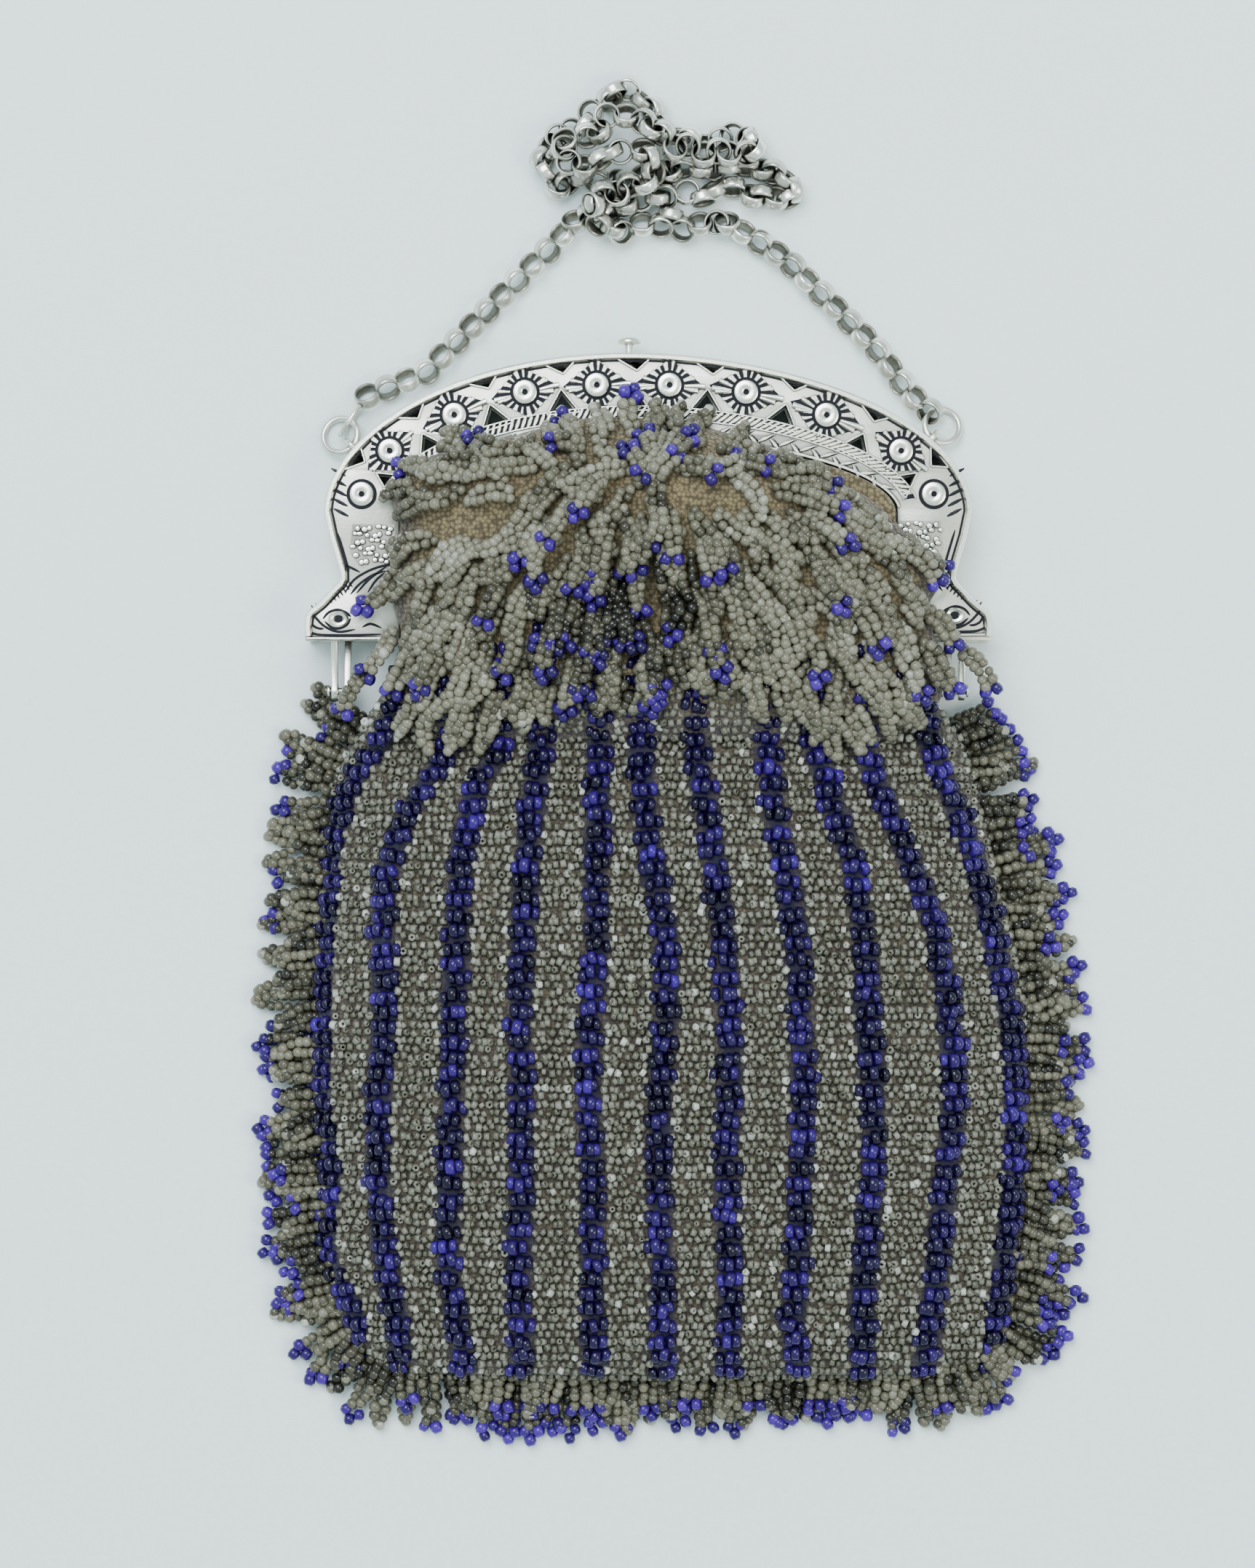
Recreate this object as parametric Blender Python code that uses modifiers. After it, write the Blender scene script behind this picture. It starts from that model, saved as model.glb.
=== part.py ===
"""Beaded frame bag lying on its back on a table.

A pierced cast silver frame in two halves carries a knitted bead pouch, a press
clasp and a ring at each shoulder, and a belcher chain runs from ring to ring
through a heap above the frame. Metres, +Z up, +Y towards the clasp.
"""
import math

import bmesh
import bpy
from mathutils import Matrix, Vector

# Frame outline
ARCH_HALF_WIDTH = 0.0466
ARCH_HEIGHT = 0.0229
ARCH_POWER = 1.93
ARCH_LEAN = -0.12
BAND_WIDTH = 0.0125
ARM_WIDTH = 0.0108
ARM_DROP = 0.0185
# Frame section
HALF_DEPTH = 0.0045
HALF_GAP = 0.0003
PLATE = 0.0015
SKIRT = 0.0012
SKIRT_SETBACK = 0.00005
RUNNING_GAP = 0.0003
OVERLAP = 0.0003
WELD = 0.000002
# Frame relief
RIM_WIDTH = 0.0010
RIM_RISE = 0.0006
HATCH_INSET = 0.0086
HATCH_WIDTH = 0.0016
HATCH_RISE = 0.00035
HATCH_DEGREES = 173
FLOWER_RADIUS = 0.00175
FLOWER_RISE = 0.0007
FLOWER_PIT = 0.0006
FLOWER_BRIM = 0.9
PETAL_SHARE = 0.925
PETAL_WIDTH = 0.0074
PETAL_RISE = 0.00035
EYE_RADIUS = 0.0011
PIERCING_SHRINK = 0.75
# Hinge below each head
HINGE_DROP = 0.0072
LEG_THICKNESS = 0.00095
LEG_HEIGHT = 0.0023
LEG_SPACING = 0.0009
LEG_OUT = 0.91
LEG_ROOT = 0.7
EYE_WALL = 0.00055
PIN_RADIUS = 0.0005
PIN_HEAD_RADIUS = 0.0009
PIN_HEAD = 0.0004
# Press button
BUTTON_RADIUS = 0.00175
BUTTON_THICKNESS = 0.0010
BUTTON_STAND = 0.0016
STEM_RADIUS = 0.00065
COLLAR_RADIUS = 0.0013
COLLAR_THICKNESS = 0.0008
# Shoulder rings and chain
RING_RADIUS = 0.00262
RING_WIRE = 0.000475
LUG_RADIUS = 0.00115
LUG_WIRE = 0.0004
LUG_HEIGHT = 0.0024
LUG_STAND = 0.00075
LINK_RADIUS = 0.00195
LINK_THICKNESS = 0.00055
LINK_WIDTH = 0.0012
LINK_PITCH = 0.0030
LINK_ROLL = 45
JUMP_RING_HALF_LENGTH = 0.00275
JUMP_RING_HALF_HEIGHT = 0.00175
JUMP_RING_WIRE = 0.00035
HEAP_RADIUS = 0.0018
# Pouch
POUCH_DROP = 0.1056
POUCH_HALF_WIDTH = 0.0510
POUCH_HEIGHT = 0.0150
SIDE_HEIGHT = 0.0030
FOOT = 0.0021
FOOT_BULGE = 0.00042
LENS_POWER = 3
LENS_ROOT = 0.6
CLOTH = 0.0022
CLOTH_GAP = 0.0004
HOLLOW_WALL = 0.0033
HOLLOW_EDGE = 0.00055
NECK_REACH = 0.08
MOUTH_REACH = 0.15
STRIPE_WIDTH = 0.0037
RIB_RISE = 0.0006
GATHER_DEPTH = 0.0012
MOUTH_LOW = 0.0023
MOUTH_HIGH = 0.0070
MOUTH_SIDE = 0.0054
YOKE_HALF_WIDTH = 0.0400
YOKE_LENGTH = 0.0460
YOKE_TOP = 0.0133
YOKE_UNDERSIDE = 0.0108
YOKE_HEIGHT = 0.0200
# Fringes
EDGE_FRINGE_LENGTH = 0.0100
EDGE_FRINGE_THICKNESS = 0.0024
EDGE_FRINGE_BAND = 0.0020
EDGE_LOCK_PITCH = 0.0068
EDGE_LOCK_UNEVEN = 0.1
EDGE_LOCK_DROOP = 0.16
EDGE_LOCK_SWAY = 0.12
YOKE_FRINGE_LENGTH = 0.0108
YOKE_FRINGE_THICKNESS = 0.0011
YOKE_FRINGE_LIFT = 0.0007
YOKE_FRINGE_STAND = 0.0006
YOKE_FRINGE_MARGIN = 0.0030
YOKE_LOCK_NOTCH = 0.22
FIRST_TIER = 0.11
TIER_SPREAD = 0.98

STRIPES = 11
YOKE_TIERS = 4
YOKE_LOCKS = 7
# Facets
OUTER_ARCH_STEPS = 20
INNER_ARCH_STEPS = 14
HATCH_STEPS = 14
ROUTE_STEPS = 6
SHARP_DEGREES = 35

# Outer edge below the arch, as shares of the half width and of the arm's drop
ARM_ROWS = [
    {"out": 0.984, "down": 0.19},
    {"out": 0.957, "down": 0.42},
    {"out": 0.949, "down": 0.52},
    {"out": 0.974, "down": 0.59},
    {"out": 1.015, "down": 0.70},
    {"out": 1.052, "down": 0.78},
    {"out": 1.060, "down": 0.88},
    {"out": 1.056, "down": 1.00},
]
# Flower centres on each side: angle on the arch and inset as a share of the band
FLOWERS = [
    {"degrees": 82.33, "inset": 0.362},
    {"degrees": 67.17, "inset": 0.335},
    {"degrees": 49.77, "inset": 0.361},
    {"degrees": 29.02, "inset": 0.351},
    {"degrees": 8.75, "inset": 0.401},
]
# Pierced triangles between two flowers: widths as shares of the widest spacing of the
# flowers, levels as shares of the band
PIERCINGS = [
    {"base": 0.21, "base_out": 0.313, "tip": 0.045, "tip_out": 0.183},
    {"base": 0.19, "base_out": -0.274, "tip": 0.0, "tip_out": -0.029},
]
# Button's rounded head, as shares of its radius and of its thickness below its top
BUTTON_HEAD = [(0.0, 0.0), (0.7, 0.05), (1.0, 0.4), (1.0, 0.8), (0.85, 1.0)]
EYE = {"out": 0.955, "down": 0.82}
LUGS = [
    {"side": "left", "degrees": 155.0},
    {"side": "right", "degrees": 28.0},
]
# Pouch sections below the frame, as shares of its drop, half width and height; the
# sewn rows take their width from the room between the hinges
SEWN_ROWS = [
    {"down": 0.000, "left": 0.8454, "right": 0.8454, "high": 0.78, "gather": 1.0},
    {"down": 0.050, "left": 0.8876, "right": 0.9118, "high": 0.84, "gather": 1.0},
    {"down": 0.100, "left": 0.9661, "right": 1.0265, "high": 0.90, "gather": 0.9},
]
LOOSE_ROWS = [
    {"down": 0.150, "left": 0.865, "right": 0.915, "high": 0.95, "gather": 0.7},
    {"down": 0.200, "left": 0.905, "right": 0.942, "high": 0.98, "gather": 0.5},
    {"down": 0.306, "left": 0.920, "right": 0.992, "high": 1.00, "gather": 0.3},
    {"down": 0.414, "left": 0.937, "right": 1.045, "high": 1.00, "gather": 0.2},
    {"down": 0.540, "left": 0.949, "right": 1.082, "high": 0.98, "gather": 0.2},
    {"down": 0.700, "left": 0.937, "right": 1.080, "high": 0.93, "gather": 0.2},
    {"down": 0.840, "left": 0.925, "right": 1.060, "high": 0.85, "gather": 0.2},
    {"down": 0.928, "left": 0.880, "right": 1.033, "high": 0.72, "gather": 0.2},
    {"down": 0.975, "left": 0.800, "right": 0.970, "high": 0.58, "gather": 0.2},
    {"down": 1.000, "left": 0.700, "right": 0.860, "high": 0.42, "gather": 0.1},
]
# Puffed top of the pouch, as shares of its length, half width and height
YOKE_ROWS = [
    {"down": 0.000, "left": 0.24, "right": 0.08, "high": 0.62},
    {"down": 0.055, "left": 0.50, "right": 0.325, "high": 0.74},
    {"down": 0.110, "left": 0.76, "right": 0.49, "high": 0.83},
    {"down": 0.180, "left": 0.885, "right": 0.65, "high": 0.90},
    {"down": 0.260, "left": 0.917, "right": 0.82, "high": 0.95},
    {"down": 0.340, "left": 0.927, "right": 0.905, "high": 0.98},
    {"down": 0.490, "left": 0.995, "right": 1.045, "high": 1.00},
    {"down": 0.600, "left": 0.970, "right": 1.000, "high": 0.98},
    {"down": 0.735, "left": 0.905, "right": 1.050, "high": 0.92},
    {"down": 0.870, "left": 0.945, "right": 1.050, "high": 0.84},
    {"down": 0.940, "left": 0.860, "right": 0.960, "high": 0.77},
    {"down": 1.000, "left": 0.725, "right": 0.850, "high": 0.68},
]
# Rows of the hollow in the puffed top, as shares of its length
HOLLOW_ROWS = [0.20, 0.26, 0.34, 0.49, 0.60, 0.735, 0.87]
YOKE_ACROSS = [0.0, 0.02, 0.07, 0.16, 0.30, 0.5, 0.70, 0.84, 0.93, 0.98, 1.0]

# Routes of the chain, each point chosen by hand; the heap adds its layer, from 0 to 1
LEFT_RUN = [
    (-0.0407, 0.0172),
    (-0.0323, 0.0206),
    (-0.0255, 0.0274),
    (-0.0199, 0.0331),
    (-0.0142, 0.0387),
    (-0.0109, 0.0422),
]
RIGHT_RUN = [
    (0.0409, 0.0150),
    (0.0382, 0.0173),
    (0.0331, 0.0241),
    (0.0264, 0.0308),
    (0.0207, 0.0364),
    (0.0151, 0.0402),
    (0.0118, 0.0421),
]
HEAP_ROUTE = [
    (-0.0109, 0.0422, 0.00),
    (-0.0078, 0.0439, 0.00),
    (-0.0044, 0.0451, 0.00),
    (-0.0011, 0.0458, 0.00),
    (0.0023, 0.0462, 0.00),
    (0.0057, 0.0462, 0.00),
    (0.0094, 0.0462, 0.00),
    (0.0128, 0.0467, 0.00),
    (0.0164, 0.0461, 0.00),
    (0.0198, 0.0455, 0.00),
    (0.0219, 0.0471, 0.00),
    (0.0195, 0.0490, 0.00),
    (0.0161, 0.0499, 0.00),
    (0.0127, 0.0505, 0.00),
    (0.0094, 0.0501, 0.00),
    (0.0060, 0.0501, 0.00),
    (0.0026, 0.0501, 0.00),
    (-0.0008, 0.0493, 0.00),
    (-0.0038, 0.0482, 0.00),
    (-0.0075, 0.0486, 0.00),
    (-0.0110, 0.0479, 0.00),
    (-0.0141, 0.0484, 0.00),
    (-0.0156, 0.0508, 0.00),
    (-0.0148, 0.0531, 0.00),
    (-0.0124, 0.0556, 0.00),
    (-0.0088, 0.0571, 0.00),
    (-0.0063, 0.0599, 0.00),
    (-0.0029, 0.0619, 0.00),
    (-0.0001, 0.0602, 0.00),
    (0.0014, 0.0571, 0.00),
    (0.0032, 0.0544, 0.00),
    (0.0066, 0.0540, 0.00),
    (0.0100, 0.0542, 0.00),
    (0.0133, 0.0549, 0.10),
    (0.0160, 0.0538, 0.67),
    (0.0136, 0.0510, 1.00),
    (0.0105, 0.0519, 1.00),
    (0.0066, 0.0519, 1.00),
    (0.0035, 0.0528, 1.00),
    (0.0011, 0.0550, 1.00),
    (-0.0014, 0.0571, 0.95),
    (-0.0048, 0.0572, 0.76),
    (-0.0078, 0.0552, 0.76),
    (-0.0112, 0.0540, 0.90),
    (-0.0123, 0.0513, 1.00),
    (-0.0094, 0.0500, 1.00),
    (-0.0063, 0.0516, 0.95),
    (-0.0029, 0.0525, 0.90),
    (0.0002, 0.0512, 1.00),
    (0.0008, 0.0480, 1.00),
    (-0.0023, 0.0467, 1.00),
    (-0.0057, 0.0467, 1.00),
    (-0.0081, 0.0448, 1.00),
    (-0.0069, 0.0420, 0.67),
    (-0.0041, 0.0413, 0.10),
    (-0.0015, 0.0420, 0.00),
    (0.0017, 0.0422, 0.00),
    (0.0052, 0.0418, 0.00),
    (0.0083, 0.0422, 0.00),
    (0.0118, 0.0421, 0.00),
]
HEAP_SPACING = 0.0037

FRAME_DEPTH = 2 * HALF_DEPTH + HALF_GAP
MID_HEIGHT = FRAME_DEPTH / 2
HINGE_Y = -ARM_DROP - HINGE_DROP
LINK_HEIGHT = (LINK_RADIUS + LINK_WIDTH / 2) * math.sin(math.radians(LINK_ROLL))
COLOURS = {
    "oxidised_silver": ((0.62, 0.61, 0.56), 0.32, 1.0),
    "chain_silver": ((0.66, 0.65, 0.61), 0.28, 1.0),
    "beaded_knit": ((0.30, 0.29, 0.36), 0.45, 0.0),
    "glass_beads": ((0.45, 0.45, 0.40), 0.25, 0.0),
}


def clear_scene():
    """Remove the objects that the file starts with."""
    for obj in list(bpy.data.objects):
        bpy.data.objects.remove(obj, do_unlink=True)


def new_collection(name):
    """Add a collection to the scene."""
    collection = bpy.data.collections.new(name)
    bpy.context.scene.collection.children.link(collection)
    return collection


def material(name, finish):
    """Make a node's own material from one of the named finishes."""
    colour, roughness, metallic = COLOURS[finish]
    result = bpy.data.materials.new(name)
    result.use_nodes = True
    shader = result.node_tree.nodes["Principled BSDF"]
    shader.inputs["Base Color"].default_value = (*colour, 1.0)
    shader.inputs["Roughness"].default_value = roughness
    shader.inputs["Metallic"].default_value = metallic
    return result


def mesh_object(name, mesh, collection):
    """Link a mesh as a named object."""
    obj = bpy.data.objects.new(name, mesh)
    collection.objects.link(obj)
    return obj


def tidy(mesh):
    """Weld a mesh's loose caps and turn its faces outwards."""
    work = bmesh.new()
    work.from_mesh(mesh)
    bmesh.ops.remove_doubles(work, verts=work.verts, dist=WELD)
    bmesh.ops.recalc_face_normals(work, faces=work.faces)
    work.to_mesh(mesh)
    work.free()


def as_mesh(obj, name, collection):
    """Replace a curve or a modified object by its evaluated mesh."""
    bpy.context.view_layer.update()
    graph = bpy.context.evaluated_depsgraph_get()
    mesh = bpy.data.meshes.new_from_object(obj.evaluated_get(graph))
    mesh.name = name
    tidy(mesh)
    result = mesh_object(name, mesh, collection)
    result.matrix_world = obj.matrix_world.copy()
    bpy.data.objects.remove(obj, do_unlink=True)
    result.name = name
    return result


def loose_curve(name, dimensions):
    """Make an empty curve object in the scene's own collection."""
    data = bpy.data.curves.new(name, "CURVE")
    data.dimensions = dimensions
    obj = bpy.data.objects.new(name, data)
    bpy.context.scene.collection.objects.link(obj)
    return obj


def add_polyline(curve, points, closed):
    """Add a polyline to a curve."""
    spline = curve.data.splines.new("POLY")
    spline.points.add(len(points) - 1)
    for place, point in zip(spline.points, points):
        place.co = (*point, *([0.0] * (3 - len(point))), 1.0)
    spline.use_cyclic_u = closed


def plate(name, outlines, low, high, collection):
    """Extrude flat outlines between two heights; inner outlines are holes."""
    curve = loose_curve(name, "2D")
    curve.data.fill_mode = "BOTH"
    curve.data.extrude = (high - low) / 2
    for outline in outlines:
        add_polyline(curve, outline, True)
    curve.location.z = (low + high) / 2
    return as_mesh(curve, name, collection)


def wire(name, points, radius, closed, resolution, collection):
    """Sweep a round wire along a polyline."""
    curve = loose_curve(name, "3D")
    curve.data.bevel_depth = radius
    curve.data.bevel_resolution = resolution
    curve.data.use_fill_caps = True
    add_polyline(curve, points, closed)
    return as_mesh(curve, name, collection)


def turned(name, profile, steps, collection):
    """Turn a profile of (radius, height) pairs about Z, listed from the top down."""
    mesh = bpy.data.meshes.new(name)
    edges = [(i, i + 1) for i in range(len(profile) - 1)]
    mesh.from_pydata([(radius, 0.0, height) for radius, height in profile], edges, [])
    obj = mesh_object(name, mesh, bpy.context.scene.collection)
    screw = obj.modifiers.new("turn", "SCREW")
    screw.steps = steps
    screw.render_steps = steps
    screw.use_merge_vertices = True
    screw.merge_threshold = WELD
    return as_mesh(obj, name, collection)


def torus(name, radius, wire_radius, around, section, collection):
    """Add a ring about Z."""
    bpy.ops.mesh.primitive_torus_add(
        major_radius=radius,
        minor_radius=wire_radius,
        major_segments=around,
        minor_segments=section,
    )
    obj = bpy.context.object
    return as_mesh(obj, name, collection)


def transform(obj, matrix):
    """Move an object's mesh, leaving the object's own origin where it is."""
    obj.data.transform(matrix)
    obj.data.update()


def boolean(target, tool, operation):
    """Add a Boolean modifier."""
    modifier = target.modifiers.new(tool.name, "BOOLEAN")
    modifier.operation = operation
    modifier.solver = "EXACT"
    modifier.object = tool


def fuse(name, pieces, collection):
    """Join overlapping pieces into one body."""
    body = pieces[0]
    for piece in pieces[1:]:
        boolean(body, piece, "UNION")
        body = as_mesh(body, name, collection)
        bpy.data.objects.remove(piece, do_unlink=True)
    body.name = name
    return body


def cut(target, tool, cutters):
    """Cut a tool out of a piece and keep the tool as a hidden helper."""
    for owner in list(tool.users_collection):
        owner.objects.unlink(tool)
    cutters.objects.link(tool)
    tool.hide_render = True
    tool.display_type = "WIRE"
    boolean(target, tool, "DIFFERENCE")


def loft(name, rings, collection):
    """Skin a row of equal closed rings and cap both ends."""
    size = len(rings[0])
    points = [point for ring in rings for point in ring]
    faces = [tuple(range(size)), tuple(range(len(points) - size, len(points)))]
    for row in range(len(rings) - 1):
        for place in range(size):
            after = (place + 1) % size
            base = row * size
            faces.append((base + place, base + after, base + size + after, base + size + place))
    mesh = bpy.data.meshes.new(name)
    mesh.from_pydata(points, [], faces)
    tidy(mesh)
    return mesh_object(name, mesh, collection)


def lean(x, y):
    """Shift an arch point sideways, most at the top of the arch."""
    share = min(abs(x) / ARCH_HALF_WIDTH, 1.0)
    return (x + ARCH_LEAN * max(y, 0.0) * (1 - share**2), y)


def arch_point(degrees, inset_x, inset_y):
    """Point of the arch, drawn in by an amount at the sides and at the top."""
    angle = math.radians(degrees)
    across = abs(math.cos(angle)) ** (2 / ARCH_POWER)
    up = abs(math.sin(angle)) ** (2 / ARCH_POWER)
    x = math.copysign(across, math.cos(angle)) * (ARCH_HALF_WIDTH - inset_x)
    return lean(x, up * (ARCH_HEIGHT - inset_y))


def arch(inset_x, inset_y, first, last, count):
    """Points of the arch from one angle to another, counted from the right springing."""
    step = (last - first) / count
    return [arch_point(first + step * i, inset_x, inset_y) for i in range(count + 1)]


def arm(side):
    """Outer edge of one arm and its head, from the arch down; side is -1 or 1."""
    return [
        (side * row["out"] * ARCH_HALF_WIDTH, -row["down"] * ARM_DROP) for row in ARM_ROWS
    ]


def outer_edge():
    """Outer edge of the frame from the left arm's inner foot to the right one's."""
    inside = ARCH_HALF_WIDTH - ARM_WIDTH
    left = [(-inside, -ARM_DROP)] + arm(-1)[::-1]
    right = arm(1) + [(inside, -ARM_DROP)]
    return left + arch(0, 0, 180, 0, OUTER_ARCH_STEPS) + right


def offset(path, distance):
    """Draw a path in towards its right-hand side."""
    points = [Vector(point) for point in path]
    result = []
    for i, point in enumerate(points):
        before = points[max(i - 1, 0)]
        after = points[min(i + 1, len(points) - 1)]
        one = (point - before) if i else (after - point)
        two = (after - point) if i < len(points) - 1 else one
        first = Vector((one.y, -one.x)).normalized()
        second = Vector((two.y, -two.x)).normalized()
        shift = (first + second) / (1 + first.dot(second))
        result.append(tuple(point + shift * distance))
    return result


def strip(name, path, near, far, low, high, collection):
    """Raise a band that runs along a path between two insets."""
    outline = offset(path, near) + offset(path, far)[::-1]
    return plate(name, [outline], low, high, collection)


def flower_centres():
    """Flower centres from left to right."""
    insets = [row["inset"] * BAND_WIDTH for row in FLOWERS]
    angles = [row["degrees"] for row in FLOWERS]
    left = [arch_point(180 - angle, inset, inset) for angle, inset in zip(angles, insets)]
    right = [arch_point(angle, inset, inset) for angle, inset in zip(angles, insets)]
    return [Vector(place) for place in left[::-1] + right]


def piercings():
    """Triangles cut between neighbouring flowers."""
    centres = flower_centres()
    gaps = [(two - one).length for one, two in zip(centres, centres[1:])]
    result = []
    for one, two, gap in zip(centres, centres[1:], gaps):
        along = (two - one).normalized()
        out = Vector((-along.y, along.x))
        middle = (one + two) / 2
        for row in PIERCINGS:
            scale = max(gaps) * (gap / max(gaps)) ** PIERCING_SHRINK
            level = BAND_WIDTH * row["base_out"]
            corners = [
                middle - along * scale * row["base"] + out * level,
                middle + along * scale * row["base"] + out * level,
                middle + along * scale * row["tip"] + out * BAND_WIDTH * row["tip_out"],
            ]
            result.append([tuple(corner) for corner in corners])
    return result


def half_plate(name, low, collection):
    """Pierced face plate of one half."""
    inner = arch(ARM_WIDTH, BAND_WIDTH, 0, 180, INNER_ARCH_STEPS)
    outline = outer_edge() + inner
    return plate(name, [outline] + piercings(), low, low + PLATE, collection)


def skirt(name, low, high, collection):
    """Wall that closes one half round its outer edge."""
    return strip(name, outer_edge(), SKIRT_SETBACK, SKIRT, low, high, collection)


def leg(name, side, place, up, collection):
    """Hinge leg that runs from under a head to its eye; up is 1 on the front half."""
    eye = PIN_RADIUS + RUNNING_GAP + EYE_WALL
    top = -ARM_DROP + SKIRT * LEG_ROOT
    root = HALF_GAP / 2 + RUNNING_GAP
    outline = [(top, root), (top, root + LEG_HEIGHT)]
    for degrees in range(70, 300, 44):
        angle = math.radians(degrees)
        outline.append((HINGE_Y + eye * math.cos(angle), eye * math.sin(angle)))
    hole = []
    for degrees in range(0, 360, 45):
        angle = math.radians(degrees)
        radius = PIN_RADIUS + RUNNING_GAP
        hole.append((HINGE_Y + radius * math.cos(angle), radius * math.sin(angle)))
    outlines = [[(y, up * z) for y, z in points] for points in (outline, hole)]
    obj = plate(name, outlines, 0.0, LEG_THICKNESS, collection)
    turn = Matrix(((0, 0, side, 0), (1, 0, 0, 0), (0, 1, 0, 0), (0, 0, 0, 1)))
    transform(obj, obj.matrix_world)
    obj.matrix_world = Matrix.Identity(4)
    transform(obj, Matrix.Translation((side * place, 0, MID_HEIGHT)) @ turn)
    tidy(obj.data)
    return obj


def leg_places():
    """Inner faces of the back and the front leg, as distances from the middle."""
    front = ARM_ROWS[-1]["out"] * ARCH_HALF_WIDTH * LEG_OUT
    return front - LEG_SPACING - LEG_THICKNESS, front


def body_rows():
    """Pouch sections with their sides as distances from the middle."""
    back_leg, _ = leg_places()
    room = back_leg - RUNNING_GAP - PIN_HEAD
    rows = []
    for table, width in ((SEWN_ROWS, room), (LOOSE_ROWS, POUCH_HALF_WIDTH)):
        for row in table:
            rows.append({**row, "left": row["left"] * width, "right": row["right"] * width})
    return rows


def frame_half(name, front, parts, cutters):
    """One half of the frame, with its legs; the front half carries the cast relief."""
    base = FRAME_DEPTH - PLATE if front else 0.0
    inside = FRAME_DEPTH - HALF_DEPTH if front else PLATE - OVERLAP
    outside = FRAME_DEPTH - PLATE + OVERLAP if front else HALF_DEPTH
    pieces = [half_plate(name, base, parts), skirt("skirt", inside, outside, parts)]
    back_leg, front_leg = leg_places()
    for side in (-1, 1):
        place = front_leg if front else back_leg
        pieces.append(leg("leg", side, place, 1 if front else -1, parts))
    if front:
        pieces += relief(parts)
    else:
        pieces += lugs(parts)
    half = fuse(name, pieces, parts)
    cut(half, button_hole(name + "_hole", cutters), cutters)
    half.data.materials.append(material(name, "oxidised_silver"))
    return half


def relief(parts):
    """Raised rim, hatched band, petals, flower discs and eyes of the front half."""
    face = FRAME_DEPTH
    sunk = face - OVERLAP
    rim = outer_edge()[len(ARM_ROWS) - 1 : -(len(ARM_ROWS) - 1)]
    pieces = [
        strip("rim", rim, SKIRT_SETBACK, RIM_WIDTH, sunk, face + RIM_RISE, parts),
        strip(
            "hatch",
            arch(HATCH_INSET, HATCH_INSET, HATCH_DEGREES, 180 - HATCH_DEGREES, HATCH_STEPS),
            -HATCH_WIDTH / 2,
            HATCH_WIDTH / 2,
            sunk,
            face + HATCH_RISE,
            parts,
        ),
    ]
    centres = flower_centres()
    for i, centre in enumerate(centres):
        before = centres[max(i - 1, 0)]
        after = centres[min(i + 1, len(centres) - 1)]
        along = (after - before).normalized()
        across = Vector((-along.y, along.x))
        if 0 < i < len(centres) - 1:
            spacing = ((after - centre).length + (centre - before).length) / 2
            half_length = along * spacing * PETAL_SHARE / 2
            half_width = across * PETAL_WIDTH / 2
            corners = [centre + half_length, centre + half_width]
            corners += [centre - half_length, centre - half_width]
            outline = [tuple(corner) for corner in corners]
            pieces.append(plate("petals", [outline], sunk, face + PETAL_RISE, parts))
        pieces.append(disc(centre, FLOWER_RADIUS, sunk, parts))
    for side in (-1, 1):
        place = Vector((side * EYE["out"] * ARCH_HALF_WIDTH, -EYE["down"] * ARM_DROP))
        pieces.append(disc(place, EYE_RADIUS, sunk, parts))
    return pieces


def disc(centre, radius, low, parts):
    """Round boss with a dished middle."""
    top = FRAME_DEPTH + FLOWER_RISE
    profile = [
        (0.0, top - FLOWER_PIT),
        (radius * FLOWER_BRIM, top),
        (radius, low),
        (0.0, low),
    ]
    obj = turned("disc", profile, 8, parts)
    transform(obj, Matrix.Translation((centre.x, centre.y, 0)))
    return obj


def rim_normal(degrees):
    """Outward direction of the arch's edge at an angle."""
    before = Vector(arch_point(degrees - 0.5, 0, 0))
    after = Vector(arch_point(degrees + 0.5, 0, 0))
    along = (after - before).normalized()
    return Vector((along.y, -along.x, 0))


def lug_place(row):
    """Centre of a lug's loop."""
    x, y = arch_point(row["degrees"], 0, 0)
    return Vector((x, y, LUG_HEIGHT)) + rim_normal(row["degrees"]) * LUG_STAND


def lugs(parts):
    """Upright loops on the back half's edge that hold the shoulder rings."""
    pieces = []
    for row in LUGS:
        obj = torus("lug", LUG_RADIUS, LUG_WIRE, 10, 5, parts)
        out = rim_normal(row["degrees"])
        tangent = Vector((-out.y, out.x, 0))
        turn = Matrix((out, Vector((0, 0, 1)), tangent)).transposed().to_4x4()
        transform(obj, Matrix.Translation(lug_place(row)) @ turn)
        tidy(obj.data)
        pieces.append(obj)
    return pieces


def ring_tilt():
    """Angle at which a ring leans from its lug down to the table."""
    return math.asin((LUG_HEIGHT - RING_WIRE) / (2 * RING_RADIUS))


def shoulder_ring(row, parts):
    """Ring that hangs in a lug and leans down to the table."""
    name = "ring_" + row["side"]
    obj = torus(name, RING_RADIUS, RING_WIRE, 14, 6, parts)
    out = rim_normal(row["degrees"])
    tangent = Vector((-out.y, out.x, 0))
    down = (out * math.cos(ring_tilt()) - Vector((0, 0, math.sin(ring_tilt())))).normalized()
    turn = Matrix((down, tangent, down.cross(tangent))).transposed().to_4x4()
    centre = lug_place(row) + down * RING_RADIUS
    transform(obj, Matrix.Translation(centre) @ turn)
    tidy(obj.data)
    obj.data.materials.append(material(name, "chain_silver"))
    return centre


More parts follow.
